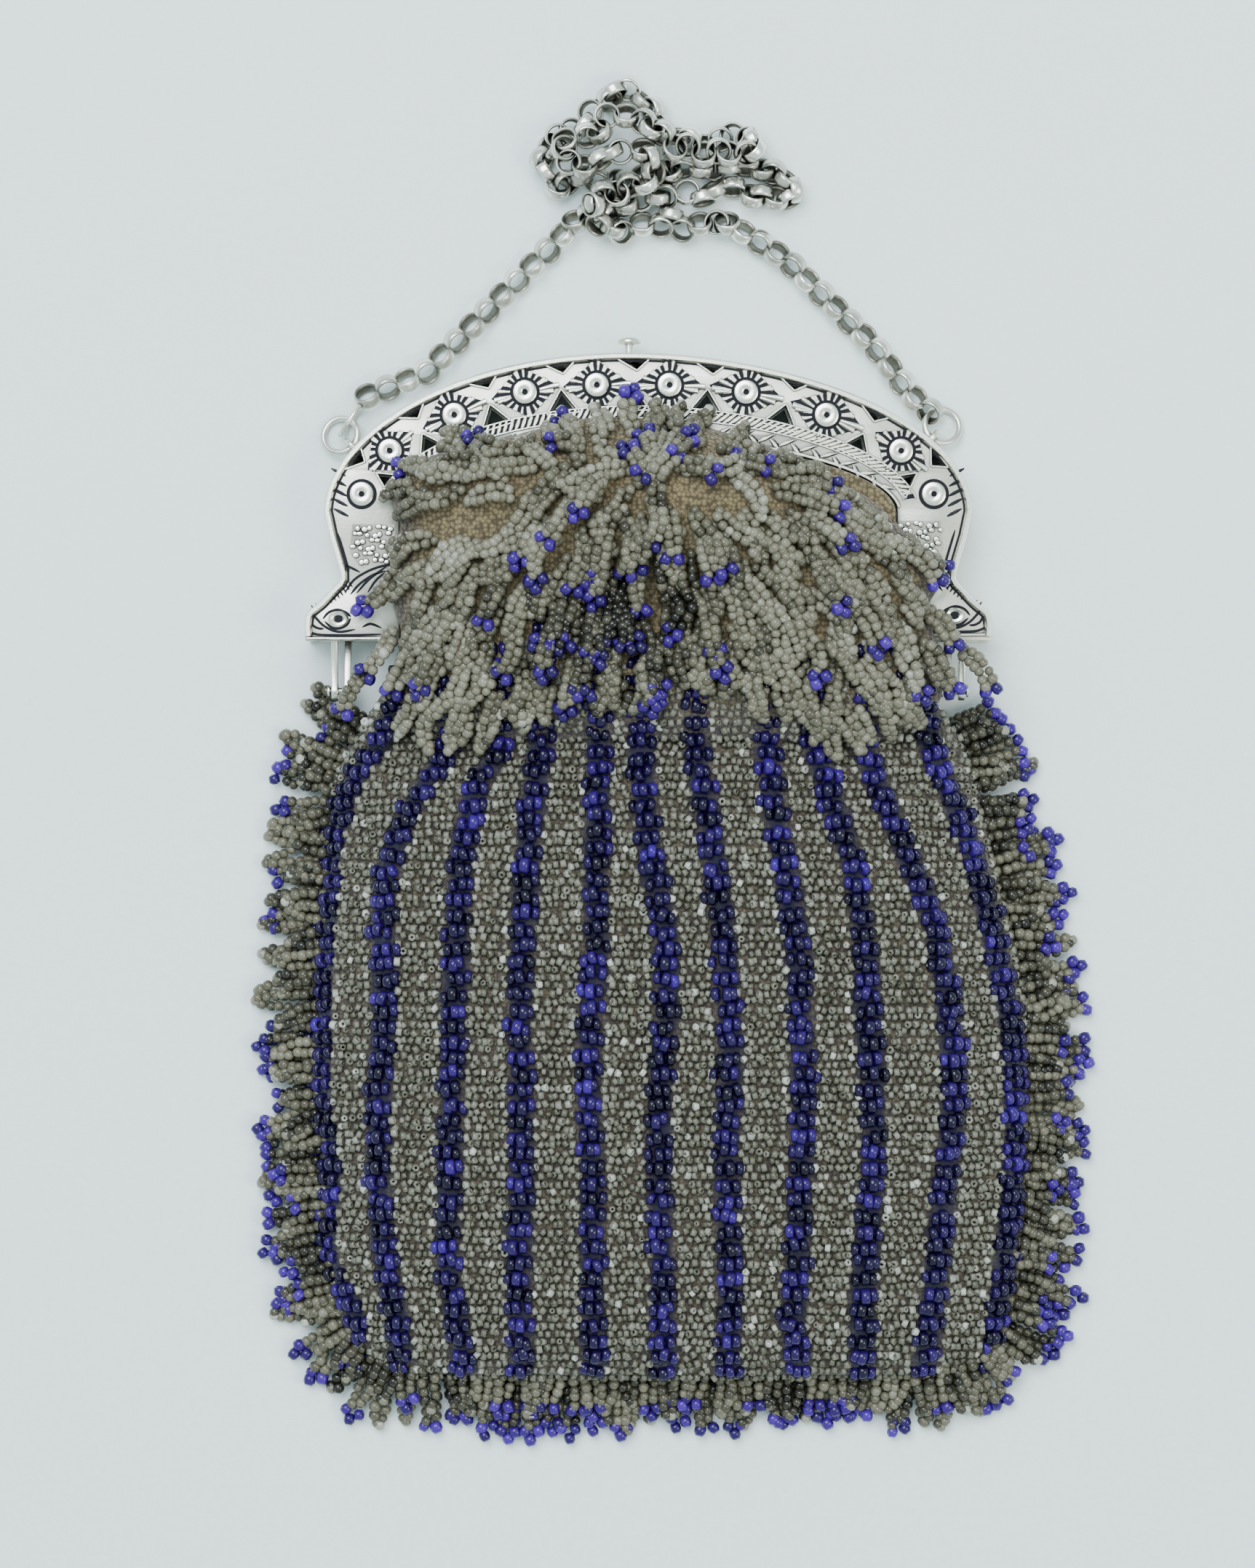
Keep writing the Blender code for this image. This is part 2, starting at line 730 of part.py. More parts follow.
def hinge_pin(name, side, parts):
    """Riveted pin through both legs' eyes."""
    back_leg, front_leg = leg_places()
    low = back_leg - RUNNING_GAP - PIN_HEAD
    high = front_leg + LEG_THICKNESS + RUNNING_GAP + PIN_HEAD
    profile = [
        (0.0, high),
        (PIN_HEAD_RADIUS, high),
        (PIN_HEAD_RADIUS, high - PIN_HEAD),
        (PIN_RADIUS, high - PIN_HEAD),
        (PIN_RADIUS, low + PIN_HEAD),
        (PIN_HEAD_RADIUS, low + PIN_HEAD),
        (PIN_HEAD_RADIUS, low),
        (0.0, low),
    ]
    obj = turned(name, profile, 8, parts)
    transform(obj, Matrix.Rotation(math.radians(90 * side), 4, "Y"))
    obj.location = (0, HINGE_Y, MID_HEIGHT)
    obj.data.materials.append(material(name, "oxidised_silver"))


def button_hole(name, cutters):
    """Hole for the stem through the rim, half in each half of the frame."""
    x, y = arch_point(90, 0, 0)
    radius = STEM_RADIUS + RUNNING_GAP
    depth = SKIRT * 2
    profile = [(0.0, depth), (radius, depth), (radius, -depth), (0.0, -depth)]
    obj = turned(name, profile, 12, cutters)
    transform(obj, Matrix.Rotation(math.radians(-90), 4, "X"))
    obj.location = (x, y, MID_HEIGHT)
    return obj


def clasp_button(parts):
    """Press button whose stem slides through the rim, with a collar inside."""
    x, y = arch_point(90, 0, 0)
    collar = -SKIRT - RUNNING_GAP
    top = BUTTON_STAND + BUTTON_THICKNESS
    head = [(BUTTON_RADIUS * out, top - BUTTON_THICKNESS * down) for out, down in BUTTON_HEAD]
    profile = [
        *head,
        (STEM_RADIUS, BUTTON_STAND),
        (STEM_RADIUS, collar),
        (COLLAR_RADIUS, collar),
        (COLLAR_RADIUS, collar - COLLAR_THICKNESS),
        (0.0, collar - COLLAR_THICKNESS),
    ]
    obj = turned("clasp_button", profile, 12, parts)
    transform(obj, Matrix.Rotation(math.radians(-90), 4, "X"))
    obj.location = (x, y, MID_HEIGHT)
    obj.data.materials.append(material("clasp_button", "oxidised_silver"))


def link(place, heading, roll, parts):
    """Belcher link: a ring of flat strip, rolled about the chain's own direction."""
    obj = torus("link", LINK_RADIUS - LINK_THICKNESS / 2, LINK_THICKNESS / 2, 10, 5, parts)
    strip_width = Matrix.Diagonal((1, 1, LINK_WIDTH / LINK_THICKNESS, 1))
    turn = heading.to_track_quat("X", "Z").to_matrix().to_4x4()
    roll_turn = Matrix.Rotation(math.radians(roll), 4, "X")
    transform(obj, Matrix.Translation(place) @ turn @ roll_turn @ strip_width)
    return obj


def lengths_along(path):
    """Distance of each point along a path."""
    result = [0.0]
    for one, two in zip(path, path[1:]):
        result.append(result[-1] + (Vector(two) - Vector(one)).length)
    return result


def point_along(path, distance):
    """Place and heading at a distance along a path."""
    reached = lengths_along(path)
    for i in range(len(path) - 1):
        if distance <= reached[i + 1] or i == len(path) - 2:
            one = Vector(path[i])
            two = Vector(path[i + 1])
            heading = (two - one).normalized()
            return one + heading * (distance - reached[i]), heading


def chain_run(name, route, parts, first=None):
    """Links from beside a ring up to the heap, fused into one body."""
    path = [(x, y, LINK_HEIGHT) for x, y in route]
    last = lengths_along(path)[-1] - LINK_RADIUS - RUNNING_GAP
    steps = round(last / LINK_PITCH)
    pieces = [first] if first else []
    for i in range(steps + 1):
        place, heading = point_along(path, last * i / steps)
        pieces.append(link(place, heading, LINK_ROLL if i % 2 else -LINK_ROLL, parts))
    run = fuse(name, pieces, parts)
    run.data.materials.append(material(name, "chain_silver"))


def jump_ring(ring_centre, parts):
    """Oval ring that stands on edge and joins the left ring to the chain."""
    start = Vector((*LEFT_RUN[0], 0))
    ring = Vector((ring_centre.x, ring_centre.y, 0))
    outward = (start - ring).normalized()
    held = ring + outward * RING_RADIUS
    reach = start - outward * (LINK_RADIUS - LINK_THICKNESS)
    along = (reach - held).normalized()
    centre = reach - along * JUMP_RING_HALF_LENGTH
    centre.z = JUMP_RING_HALF_HEIGHT + JUMP_RING_WIRE
    points = []
    for degrees in range(0, 360, 30):
        angle = math.radians(degrees)
        lift = Vector((0, 0, JUMP_RING_HALF_HEIGHT * math.sin(angle)))
        points.append(centre + along * JUMP_RING_HALF_LENGTH * math.cos(angle) + lift)
    return wire("jump_ring", points, JUMP_RING_WIRE, True, 1, parts)


def smooth_route(route, spacing):
    """Evenly spaced points on a smooth curve through a route's points."""
    points = [Vector(point) for point in route]
    padded = [2 * points[0] - points[1]] + points + [2 * points[-1] - points[-2]]
    fine = []
    for i in range(1, len(padded) - 2):
        p0, p1, p2, p3 = padded[i - 1 : i + 3]
        for step in range(ROUTE_STEPS):
            t = step / ROUTE_STEPS
            fine.append(
                0.5
                * (
                    2 * p1
                    + (p2 - p0) * t
                    + (2 * p0 - 5 * p1 + 4 * p2 - p3) * t**2
                    + (3 * p1 - p0 - 3 * p2 + p3) * t**3
                )
            )
    fine.append(points[-1])
    count = round(lengths_along(fine)[-1] / spacing)
    total = lengths_along(fine)[-1]
    return [tuple(point_along(fine, total * i / count)[0]) for i in range(count + 1)]


def chain_heap(parts):
    """Envelope of the chain's heaped length, in two layers."""
    layer = 2 * HEAP_RADIUS + 2 * RUNNING_GAP
    route = [(x, y, level * layer) for x, y, level in HEAP_ROUTE]
    points = [(x, y, max(z, 0.0) + HEAP_RADIUS) for x, y, z in smooth_route(route, HEAP_SPACING)]
    heap = wire("chain_heap", points, HEAP_RADIUS, False, 2, parts)
    heap.data.materials.append(material("chain_heap", "chain_silver"))


def row_at(rows, down, key):
    """Value of a table's column at a share of the way down, read between its rows."""
    for one, two in zip(rows, rows[1:]):
        if down <= two["down"]:
            share = (down - one["down"]) / (two["down"] - one["down"])
            return one[key] + (two[key] - one[key]) * max(share, 0.0)
    return rows[-1][key]


def lens(share):
    """Height share of a soft section at a place from -1 to 1 across it."""
    return max(1 - abs(share) ** LENS_POWER, 0.0) ** LENS_ROOT


def stripe_places():
    """Shares across the pouch of each stripe's edges and middle and each band's middle."""
    half = STRIPE_WIDTH / 2 / POUCH_HALF_WIDTH
    spacing = 2 / (STRIPES - 1)
    places = []
    for i in range(STRIPES):
        centre = -1 + spacing * i
        places += [(centre - half, "edge"), (centre, "stripe"), (centre + half, "edge")]
        places.append((centre + spacing / 2, "band"))
    return [(share, kind) for share, kind in places if abs(share) <= 1.0001]


def pouch_top():
    """Level at which the pouch leaves the frame."""
    return -ARM_DROP - CLOTH_GAP


def body_ring(row):
    """Ribbed outer section of the pouch at one row."""
    y = pouch_top() - row["down"] * POUCH_DROP
    left = -row["left"]
    right = row["right"]
    high = row["high"] * POUCH_HEIGHT
    ring = []
    for share, kind in stripe_places():
        x = left + (right - left) * (share + 1) / 2
        z = SIDE_HEIGHT + (high - SIDE_HEIGHT) * lens(share)
        if kind == "stripe" and abs(share) < 0.99:
            z += RIB_RISE
        if kind == "band":
            z -= row["gather"] * GATHER_DEPTH
        ring.append((x, y, z))
    ring += [(right - FOOT_BULGE, y, FOOT / 2), (right - FOOT, y, 0.0)]
    ring += [(left + FOOT, y, 0.0), (left + FOOT_BULGE, y, FOOT / 2)]
    return ring


def body_height(x, y):
    """Level of the ribs' crests at a place on the pouch."""
    down = (pouch_top() - y) / POUCH_DROP
    if down < 0:
        return 0.0
    rows = body_rows()
    left = -row_at(rows, down, "left")
    right = row_at(rows, down, "right")
    share = 2 * (x - left) / (right - left) - 1
    high = row_at(rows, down, "high") * POUCH_HEIGHT
    return SIDE_HEIGHT + (high - SIDE_HEIGHT) * lens(share) + RIB_RISE


def plain_ring(y, left, right, low, high, across):
    """Smooth soft section with a flat underside."""
    ring = [(left, y, low)]
    for share in across:
        x = left + (right - left) * share
        z = low + HOLLOW_EDGE + (high - low - HOLLOW_EDGE) * lens(2 * share - 1)
        ring.append((x, y, z))
    return ring + [(right, y, low)]


def yoke_level(down):
    """Distance along Y of a row of the puffed top."""
    return YOKE_TOP - down * YOKE_LENGTH


def yoke_section(down, inset, lift):
    """Left, right and top of the puffed top at a share of the way down."""
    left = -row_at(YOKE_ROWS, down, "left") * YOKE_HALF_WIDTH + inset
    right = row_at(YOKE_ROWS, down, "right") * YOKE_HALF_WIDTH - inset
    return left, right, row_at(YOKE_ROWS, down, "high") * YOKE_HEIGHT + lift


def yoke_surface(down, share, lift):
    """Point above the puffed top."""
    left, right, high = yoke_section(down, 0.0, 0.0)
    base = YOKE_UNDERSIDE + HOLLOW_EDGE
    x = left + (right - left) * share
    y = yoke_level(down)
    z = max(base + (high - base) * lens(2 * share - 1), body_height(x, y))
    return (x, y, z + lift)


def neck_outline(inset):
    """Outline of the pouch where it fills the frame's opening."""
    side = ARCH_HALF_WIDTH - ARM_WIDTH - inset
    foot = pouch_top() - POUCH_DROP * NECK_REACH
    points = arch(ARM_WIDTH + inset, BAND_WIDTH + inset, 0, 180, INNER_ARCH_STEPS)
    return points + [(-side, foot), (side, foot)]


def pouch_cavity(cutters):
    """Hollow of the pouch: its body, the slot that opens into the frame, and the puff."""
    rings = []
    for row in body_rows()[1:-1]:
        y = pouch_top() - row["down"] * POUCH_DROP
        left = -row["left"] + HOLLOW_WALL
        right = row["right"] - HOLLOW_WALL
        high = row["high"] * POUCH_HEIGHT - CLOTH - row["gather"] * GATHER_DEPTH
        rings.append(plain_ring(y, left, right, CLOTH, high, YOKE_ACROSS[::2]))
    body = loft("body_hollow", rings, cutters)
    top = ARCH_HEIGHT
    foot = pouch_top() - POUCH_DROP * MOUTH_REACH
    half = ARCH_HALF_WIDTH - ARM_WIDTH - CLOTH_GAP - MOUTH_SIDE
    corners = [(half, foot), (half, top), (-half, top), (-half, foot)]
    mouth = plate("mouth_hollow", [corners], MOUTH_LOW, MOUTH_HIGH, cutters)
    side = ARCH_HALF_WIDTH - ARM_WIDTH - CLOTH_GAP - HOLLOW_WALL
    puff_rings = []
    for down in HOLLOW_ROWS:
        y = yoke_level(down)
        reach = max(1 - (max(y, 0) / (ARCH_HEIGHT - BAND_WIDTH)) ** 2, 0.0) ** 0.5
        left, right, high = yoke_section(down, HOLLOW_WALL, -CLOTH)
        left = max(left, -side * reach)
        right = min(right, side * reach)
        puff_rings.append(plain_ring(y, left, right, MOUTH_LOW + CLOTH, high, YOKE_ACROSS[::2]))
    puff = loft("puff_hollow", puff_rings, cutters)
    return [body, mouth, puff]


def pouch(parts, cutters):
    """Hollow knitted pouch with a flat back, ribs along its stripes and a puffed top."""
    body = loft("pouch", [body_ring(row) for row in body_rows()], parts)
    neck = plate("neck", [neck_outline(CLOTH_GAP)], 0.0, YOKE_UNDERSIDE + CLOTH, parts)
    rings = []
    for row in YOKE_ROWS:
        left, right, high = yoke_section(row["down"], 0.0, 0.0)
        y = yoke_level(row["down"])
        rings.append(plain_ring(y, left, right, YOKE_UNDERSIDE, high, YOKE_ACROSS))
    yoke = loft("yoke", rings, parts)
    bag = fuse("pouch", [body, neck, yoke], parts)
    for tool in pouch_cavity(cutters):
        cut(bag, tool, cutters)
    bag.data.materials.append(material("pouch", "beaded_knit"))


def pouch_outline():
    """Edge of the pouch below the hinges, from the left side round to the right."""
    eye = PIN_RADIUS + RUNNING_GAP + EYE_WALL
    start = (pouch_top() - HINGE_Y + eye + 2 * RUNNING_GAP) / POUCH_DROP
    rows = body_rows()
    shares = [start] + [row["down"] for row in rows if row["down"] > start]
    left = []
    right = []
    for share in shares:
        y = pouch_top() - share * POUCH_DROP
        left.append((-row_at(rows, share, "left"), y))
        right.append((row_at(rows, share, "right"), y))
    return left + right[::-1]


def edge_fringe(parts):
    """Bead-loop fringe round the sides and bottom: locks fused to a sewn band."""
    path = [(x, y, 0.0) for x, y in offset(pouch_outline(), CLOTH_GAP)]
    count = round(lengths_along(path)[-1] / EDGE_LOCK_PITCH)
    step = lengths_along(path)[-1] / count
    outline = [(x, y) for x, y, _ in path]
    for i in range(count * 4, -1, -1):
        place, heading = point_along(path, step * i / 4)
        out = Vector((heading.y, -heading.x, 0))
        reach = (0.0, 1.0, 1.0, 0.0)[i % 4] * (1 - EDGE_LOCK_UNEVEN * (1 - math.sin(i * 0.9)))
        length = EDGE_FRINGE_BAND + reach * (EDGE_FRINGE_LENGTH - EDGE_FRINGE_BAND)
        droop = EDGE_LOCK_DROOP * abs(out.x) * EDGE_FRINGE_LENGTH * reach
        sway = EDGE_LOCK_SWAY * step * math.sin(i * 1.7) * reach
        tip = place + out * length + heading * sway
        outline.append((tip.x, tip.y - droop))
    fringe = plate("edge_fringe", [outline], 0.0, EDGE_FRINGE_THICKNESS, parts)
    fringe.data.materials.append(material("edge_fringe", "glass_beads"))


def fringe_tier(first, parts):
    """One row of bead locks that hangs over the puffed top."""
    length = YOKE_FRINGE_LENGTH / YOKE_LENGTH
    downs = [first, first + length * 0.5, first + length]
    lifts = [0.0, YOKE_FRINGE_LIFT / 2, YOKE_FRINGE_LIFT]
    columns = YOKE_LOCKS * 2 + 1
    points = []
    for down, lift in zip(downs, lifts):
        for i in range(columns):
            level = down
            if down == downs[-1] and i % 2 == 0:
                level -= length * YOKE_LOCK_NOTCH
            left, right, _ = yoke_section(level, 0.0, 0.0)
            margin = YOKE_FRINGE_MARGIN / (right - left)
            share = margin + (1 - 2 * margin) * i / (columns - 1)
            points.append(yoke_surface(level, share, YOKE_FRINGE_STAND + lift))
    faces = []
    for row in range(len(downs) - 1):
        for i in range(columns - 1):
            corner = row * columns + i
            faces.append((corner, corner + columns, corner + columns + 1, corner + 1))
    mesh = bpy.data.meshes.new("tier")
    mesh.from_pydata(points, [], faces)
    obj = mesh_object("tier", mesh, parts)
    shell = obj.modifiers.new("thickness", "SOLIDIFY")
    shell.thickness = YOKE_FRINGE_THICKNESS
    shell.offset = 1.0
    return as_mesh(obj, "tier", parts)


def yoke_fringe(parts):
    """Rows of bead-loop locks over the puffed top, fused where they overlap."""
    length = YOKE_FRINGE_LENGTH / YOKE_LENGTH
    spacing = (1 - FIRST_TIER - length) / (YOKE_TIERS - 1) * TIER_SPREAD
    tiers = [fringe_tier(FIRST_TIER + spacing * i, parts) for i in range(YOKE_TIERS)]
    fringe = fuse("yoke_fringe", tiers, parts)
    fringe.data.materials.append(material("yoke_fringe", "glass_beads"))


def stand_on_origin():
    """Centre the bag's footprint on the origin, with its back on the table."""
    bpy.context.view_layer.update()
    graph = bpy.context.evaluated_depsgraph_get()
    corners = []
    for obj in bpy.data.objects:
        if obj.hide_render:
            continue
        mesh = obj.evaluated_get(graph).to_mesh()
        corners += [obj.matrix_world @ vertex.co for vertex in mesh.vertices]
    low = Vector([min(point[axis] for point in corners) for axis in range(3)])
    high = Vector([max(point[axis] for point in corners) for axis in range(3)])
    shift = Vector(((low.x + high.x) / 2, (low.y + high.y) / 2, low.z))
    for obj in bpy.data.objects:
        obj.location -= shift


def shade_round(parts):
    """Shade the curved pieces smooth up to their sharp edges."""
    for obj in parts.objects:
        obj.data.shade_smooth()
        obj.data.set_sharp_from_angle(angle=math.radians(SHARP_DEGREES))


def main():
    """Build the bag."""
    clear_scene()
    parts = new_collection("beaded_frame_bag")
    cutters = new_collection("cutters")
    frame_half("back_frame", False, parts, cutters)
    frame_half("front_frame", True, parts, cutters)
    hinge_pin("hinge_pin_left", -1, parts)
    hinge_pin("hinge_pin_right", 1, parts)
    clasp_button(parts)
    ring_centres = {row["side"]: shoulder_ring(row, parts) for row in LUGS}
    chain_run("chain_left", LEFT_RUN, parts, jump_ring(ring_centres["left"], parts))
    chain_run("chain_right", RIGHT_RUN, parts)
    chain_heap(parts)
    pouch(parts, cutters)
    edge_fringe(parts)
    yoke_fringe(parts)
    shade_round(parts)
    stand_on_origin()


main()
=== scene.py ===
"""Looks of a small knitted bead bag on a pierced silver frame, lying on its back.

The bag lies on a pale table with its chain heaped above it. Plan places are in
metres on the bag's own plan, whose X runs along the frame and whose Y is 0
where the arch of the frame springs from its two arms.
"""

import logging
import math
from dataclasses import dataclass, field
from enum import Enum

import bmesh
import bpy
import numpy as np
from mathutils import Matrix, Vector


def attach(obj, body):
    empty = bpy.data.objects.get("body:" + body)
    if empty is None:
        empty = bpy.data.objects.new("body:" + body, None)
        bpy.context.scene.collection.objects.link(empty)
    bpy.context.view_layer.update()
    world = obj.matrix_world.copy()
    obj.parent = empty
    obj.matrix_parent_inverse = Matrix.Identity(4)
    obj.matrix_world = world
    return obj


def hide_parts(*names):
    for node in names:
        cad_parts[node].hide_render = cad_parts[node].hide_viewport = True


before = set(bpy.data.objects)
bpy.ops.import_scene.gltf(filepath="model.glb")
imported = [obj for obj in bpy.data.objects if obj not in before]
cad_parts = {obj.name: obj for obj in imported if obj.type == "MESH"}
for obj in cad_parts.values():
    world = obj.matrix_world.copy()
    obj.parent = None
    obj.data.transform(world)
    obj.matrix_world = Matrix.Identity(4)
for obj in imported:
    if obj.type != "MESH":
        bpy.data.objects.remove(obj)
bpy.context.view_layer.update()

LOG = logging.getLogger("beaded_bag")
# Place of the plan's own origin in the part's frame
PLAN_SHIFT = np.array([-0.003402, 0.0356146, 0.0])
MM = 0.001

Array = np.ndarray
Point = tuple[float, float]
# Points of a closed shape and its faces, grouped by their size
Shape = tuple[np.ndarray, list[np.ndarray]]


class Body(Enum):
    """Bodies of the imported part."""

    BAG = "bag"
    BUTTON = "button"


class Slot(Enum):
    """Names of the material slots."""

    SILVER = "oxidised_silver"
    CHAIN = "chain_silver"
    KNIT = "beaded_knit"
    GLASS = "glass_beads"


def linear(hex_colour: str) -> tuple[float, float, float, float]:
    """Turn an sRGB hex colour into linear RGBA.

    Args:
        hex_colour: six hex digits after a hash.

    Returns:
        Linear red, green, blue and an alpha of 1.
    """
    channels = [int(hex_colour[i : i + 2], 16) / 255 for i in (1, 3, 5)]
    values = [c / 12.92 if c <= 0.04045 else ((c + 0.055) / 1.055) ** 2.4 for c in channels]
    return (*values, 1.0)


def smoothstep(low: float, high: float, value: Array) -> Array:
    """Rise smoothly from 0 at low to 1 at high."""
    share = np.clip((value - low) / (high - low), 0.0, 1.0)
    return share * share * (3 - 2 * share)


class NodeTree:
    """Shader nodes of one material."""

    def __init__(self, name: str) -> None:
        """Start a material with a Principled shader.

        Args:
            name: the material's name.
        """
        self.material = bpy.data.materials.new(name)
        self.material.use_nodes = True
        self.tree = self.material.node_tree
        self.shader = self.tree.nodes["Principled BSDF"]

    def add(self, kind: str, settings: dict | None = None, **inputs: object) -> bpy.types.Node:
        """Add a node with its settings and links.

        Args:
            kind: the node's type without the ShaderNode prefix.
            settings: attributes of the node itself.
            inputs: socket names, with spaces as underscores, to values or sockets;
                a name such as i1 means the socket's number.

        Returns:
            The new node.
        """
        node = self.tree.nodes.new("ShaderNode" + kind)
        for key, value in (settings or {}).items():
            setattr(node, key, value)
        self.feed(node, **inputs)
        return node

    def feed(self, node: bpy.types.Node, **inputs: object) -> None:
        """Set or link a node's inputs.

        Args:
            node: the node.
            inputs: as for add.
        """
        for key, value in inputs.items():
            by_number = key[0] == "i" and key[1:].isdigit()
            socket = node.inputs[int(key[1:]) if by_number else key.replace("_", " ")]
            if isinstance(value, bpy.types.NodeSocket):
                self.tree.links.new(value, socket)
            else:
                socket.default_value = value

    def ramp(self, factor: bpy.types.NodeSocket, stops: list[tuple[float, str]]) -> bpy.types.NodeSocket:
        """Add a colour ramp.

        Args:
            factor: the socket that drives it.
            stops: places from 0 to 1 with their hex colours.

        Returns:
            The ramp's colour socket.
        """
        node = self.add("ValToRGB", Fac=factor)
        elements = node.color_ramp.elements
        while len(elements) < len(stops):
            elements.new(0.5)
        for element, (place, colour) in zip(elements, stops):
            element.position = place
            element.color = linear(colour)
        return node.outputs["Color"]


class Shells:
    """Closed shells gathered into one mesh, each with a tone from 0 to 1."""

    def __init__(self) -> None:
        """Start with no shell."""
        self.points: list[Array] = []
        self.tones: list[Array] = []
        self.faces: list[Array] = []
        self.count = 0

    def add(self, points: Array, faces: list[Array], tone: Array | float) -> None:
        """Add shells given on the plan.

        Args:
            points: places, one row each.
            faces: arrays of point numbers, each with faces of one size.
            tone: shade of the shells, one for all or one for each point.
        """
        self.faces += [np.asarray(block, int) + self.count for block in faces]
        self.points.append(np.asarray(points, float))
        self.tones.append(np.broadcast_to(np.asarray(tone, float), len(points)))
        self.count += len(points)

    def stamp(
        self, shape: Shape, turns: Array, centres: Array, tones: Array, profile: Array | float = 1.0
    ) -> None:
        """Add many copies of one closed shape.

        Args:
            shape: the shape's points and faces.
            turns: one 3 by 3 matrix for each copy.
            centres: one place for each copy.
            tones: one tone for each copy.
            profile: how bright each point of the shape is, from 0 to 1.
        """
        points, faces = shape
        placed = np.einsum("nij,pj->npi", turns, points) + centres[:, None]
        starts = np.arange(len(centres)) * len(points)
        blocks = [
            (block[None] + starts[:, None, None]).reshape(-1, block.shape[1]) for block in faces
        ]
        shades = tones[:, None] * np.broadcast_to(profile, len(points))
        self.add(placed.reshape(-1, 3), blocks, shades.ravel())

    def build(self, name: str, material: bpy.types.Material, sharp: float | None = None) -> bpy.types.Object:
        """Make the mesh object, moved from the plan into the part's frame.

        Args:
            name: the piece's name.
            material: its material.
            sharp: angle in degrees above which an edge stays sharp, or None.

        Returns:
            The new object.
        """
        mesh = bpy.data.meshes.new(name)
        points = np.concatenate(self.points) + PLAN_SHIFT
        sizes = np.concatenate([np.full(len(block), block.shape[1]) for block in self.faces])
        mesh.vertices.add(len(points))
        mesh.vertices.foreach_set("co", points.ravel())
        mesh.loops.add(int(sizes.sum()))
        corners = np.concatenate([block.ravel() for block in self.faces])
        mesh.loops.foreach_set("vertex_index", corners.astype(np.int32))
        mesh.polygons.add(len(sizes))
        starts = np.concatenate([[0], np.cumsum(sizes)[:-1]])
        mesh.polygons.foreach_set("loop_start", starts.astype(np.int32))
        mesh.update(calc_edges=True)
        mesh.validate()
        tone = mesh.attributes.new("tone", "FLOAT", "POINT")
        tone.data.foreach_set("value", np.concatenate(self.tones).astype(np.float32))
        mesh.shade_smooth()
        if sharp is not None:
            mesh.set_sharp_from_angle(angle=math.radians(sharp))
        mesh.materials.append(material)
        obj = bpy.data.objects.new(name, mesh)
        bpy.context.scene.collection.objects.link(obj)
        return obj


def dress(obj: bpy.types.Object, body: Body, slot: Slot, *nodes: str) -> None:
    """Tie a piece to its body and hide the nodes that it stands for.

    Args:
        obj: the piece.
        body: the body that it moves with.
        slot: not used.
        nodes: names of CAD nodes.
    """
    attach(obj, body.value)
    if nodes:
        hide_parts(*nodes)
    triangles = sum(len(face.vertices) - 2 for face in obj.data.polygons)
    LOG.info("%s: %d triangles, stands for %s", obj.name, triangles, ", ".join(nodes) or "no node")


def unit(vectors: Array) -> Array:
    """Scale vectors to a length of 1."""
    return vectors / np.maximum(np.linalg.norm(vectors, axis=-1, keepdims=True), 1e-12)


def left_of(vector: Array) -> Array:
    """Turn a plan direction a quarter turn to the left."""
    return np.array([-vector[1], vector[0]])


def turns_of(along: Array, up: Array) -> Array:
    """Matrices whose X is along and whose Z is as near to up as may be.

    Args:
        along: directions, one row each.
        up: directions, one row each.

    Returns:
        One 3 by 3 matrix for each row.
    """
    x = unit(along)
    y = unit(np.cross(up, x))
    return np.stack([x, y, np.cross(x, y)], axis=-1)


def ring_shape(
    radius: float, hole: float, width: float, around: int, section: int, square: float = 1.0
) -> Shape:
    """Closed ring about the X axis, as a bead or a link of strip.

    Args:
        radius: outer radius.
        hole: radius of the hole.
        width: length along X.
        around: facets round the hole.
        section: facets round the ring's own section.
        square: 1 for an oval section, less for a squarer one.

    Returns:
        The ring's points and its faces.
    """
    middle, half = (radius + hole) / 2, (radius - hole) / 2
    i, j = np.meshgrid(np.arange(around), np.arange(section), indexing="ij")
    turn = 2 * np.pi * i.ravel() / around
    roll = 2 * np.pi * (j.ravel() + 0.5) / section
    reach = middle + half * np.sign(np.cos(roll)) * np.abs(np.cos(roll)) ** square
    side = width / 2 * np.sign(np.sin(roll)) * np.abs(np.sin(roll)) ** square
    points = np.stack([side, reach * np.cos(turn), reach * np.sin(turn)], axis=1)
    after_i, after_j = (i + 1) % around, (j + 1) % section
    corners = [i * section + j, after_i * section + j, after_i * section + after_j, i * section + after_j]
    faces = np.stack([corner.ravel() for corner in corners], axis=1)
    return points, [faces]


def tube_faces(rows: int, size: int) -> list[Array]:
    """Faces of a skin over closed rings with both ends capped.

    Args:
        rows: number of rings.
        size: points in each ring.

    Returns:
        The side's faces and the two caps.
    """
    row, place = np.meshgrid(np.arange(rows - 1), np.arange(size), indexing="ij")
    after = (place + 1) % size
    corners = [row * size + place, row * size + after, (row + 1) * size + after, (row + 1) * size + place]
    side = np.stack([corner.ravel() for corner in corners], axis=1)
    return [side, np.arange(size)[None, ::-1], (np.arange(size) + (rows - 1) * size)[None]]


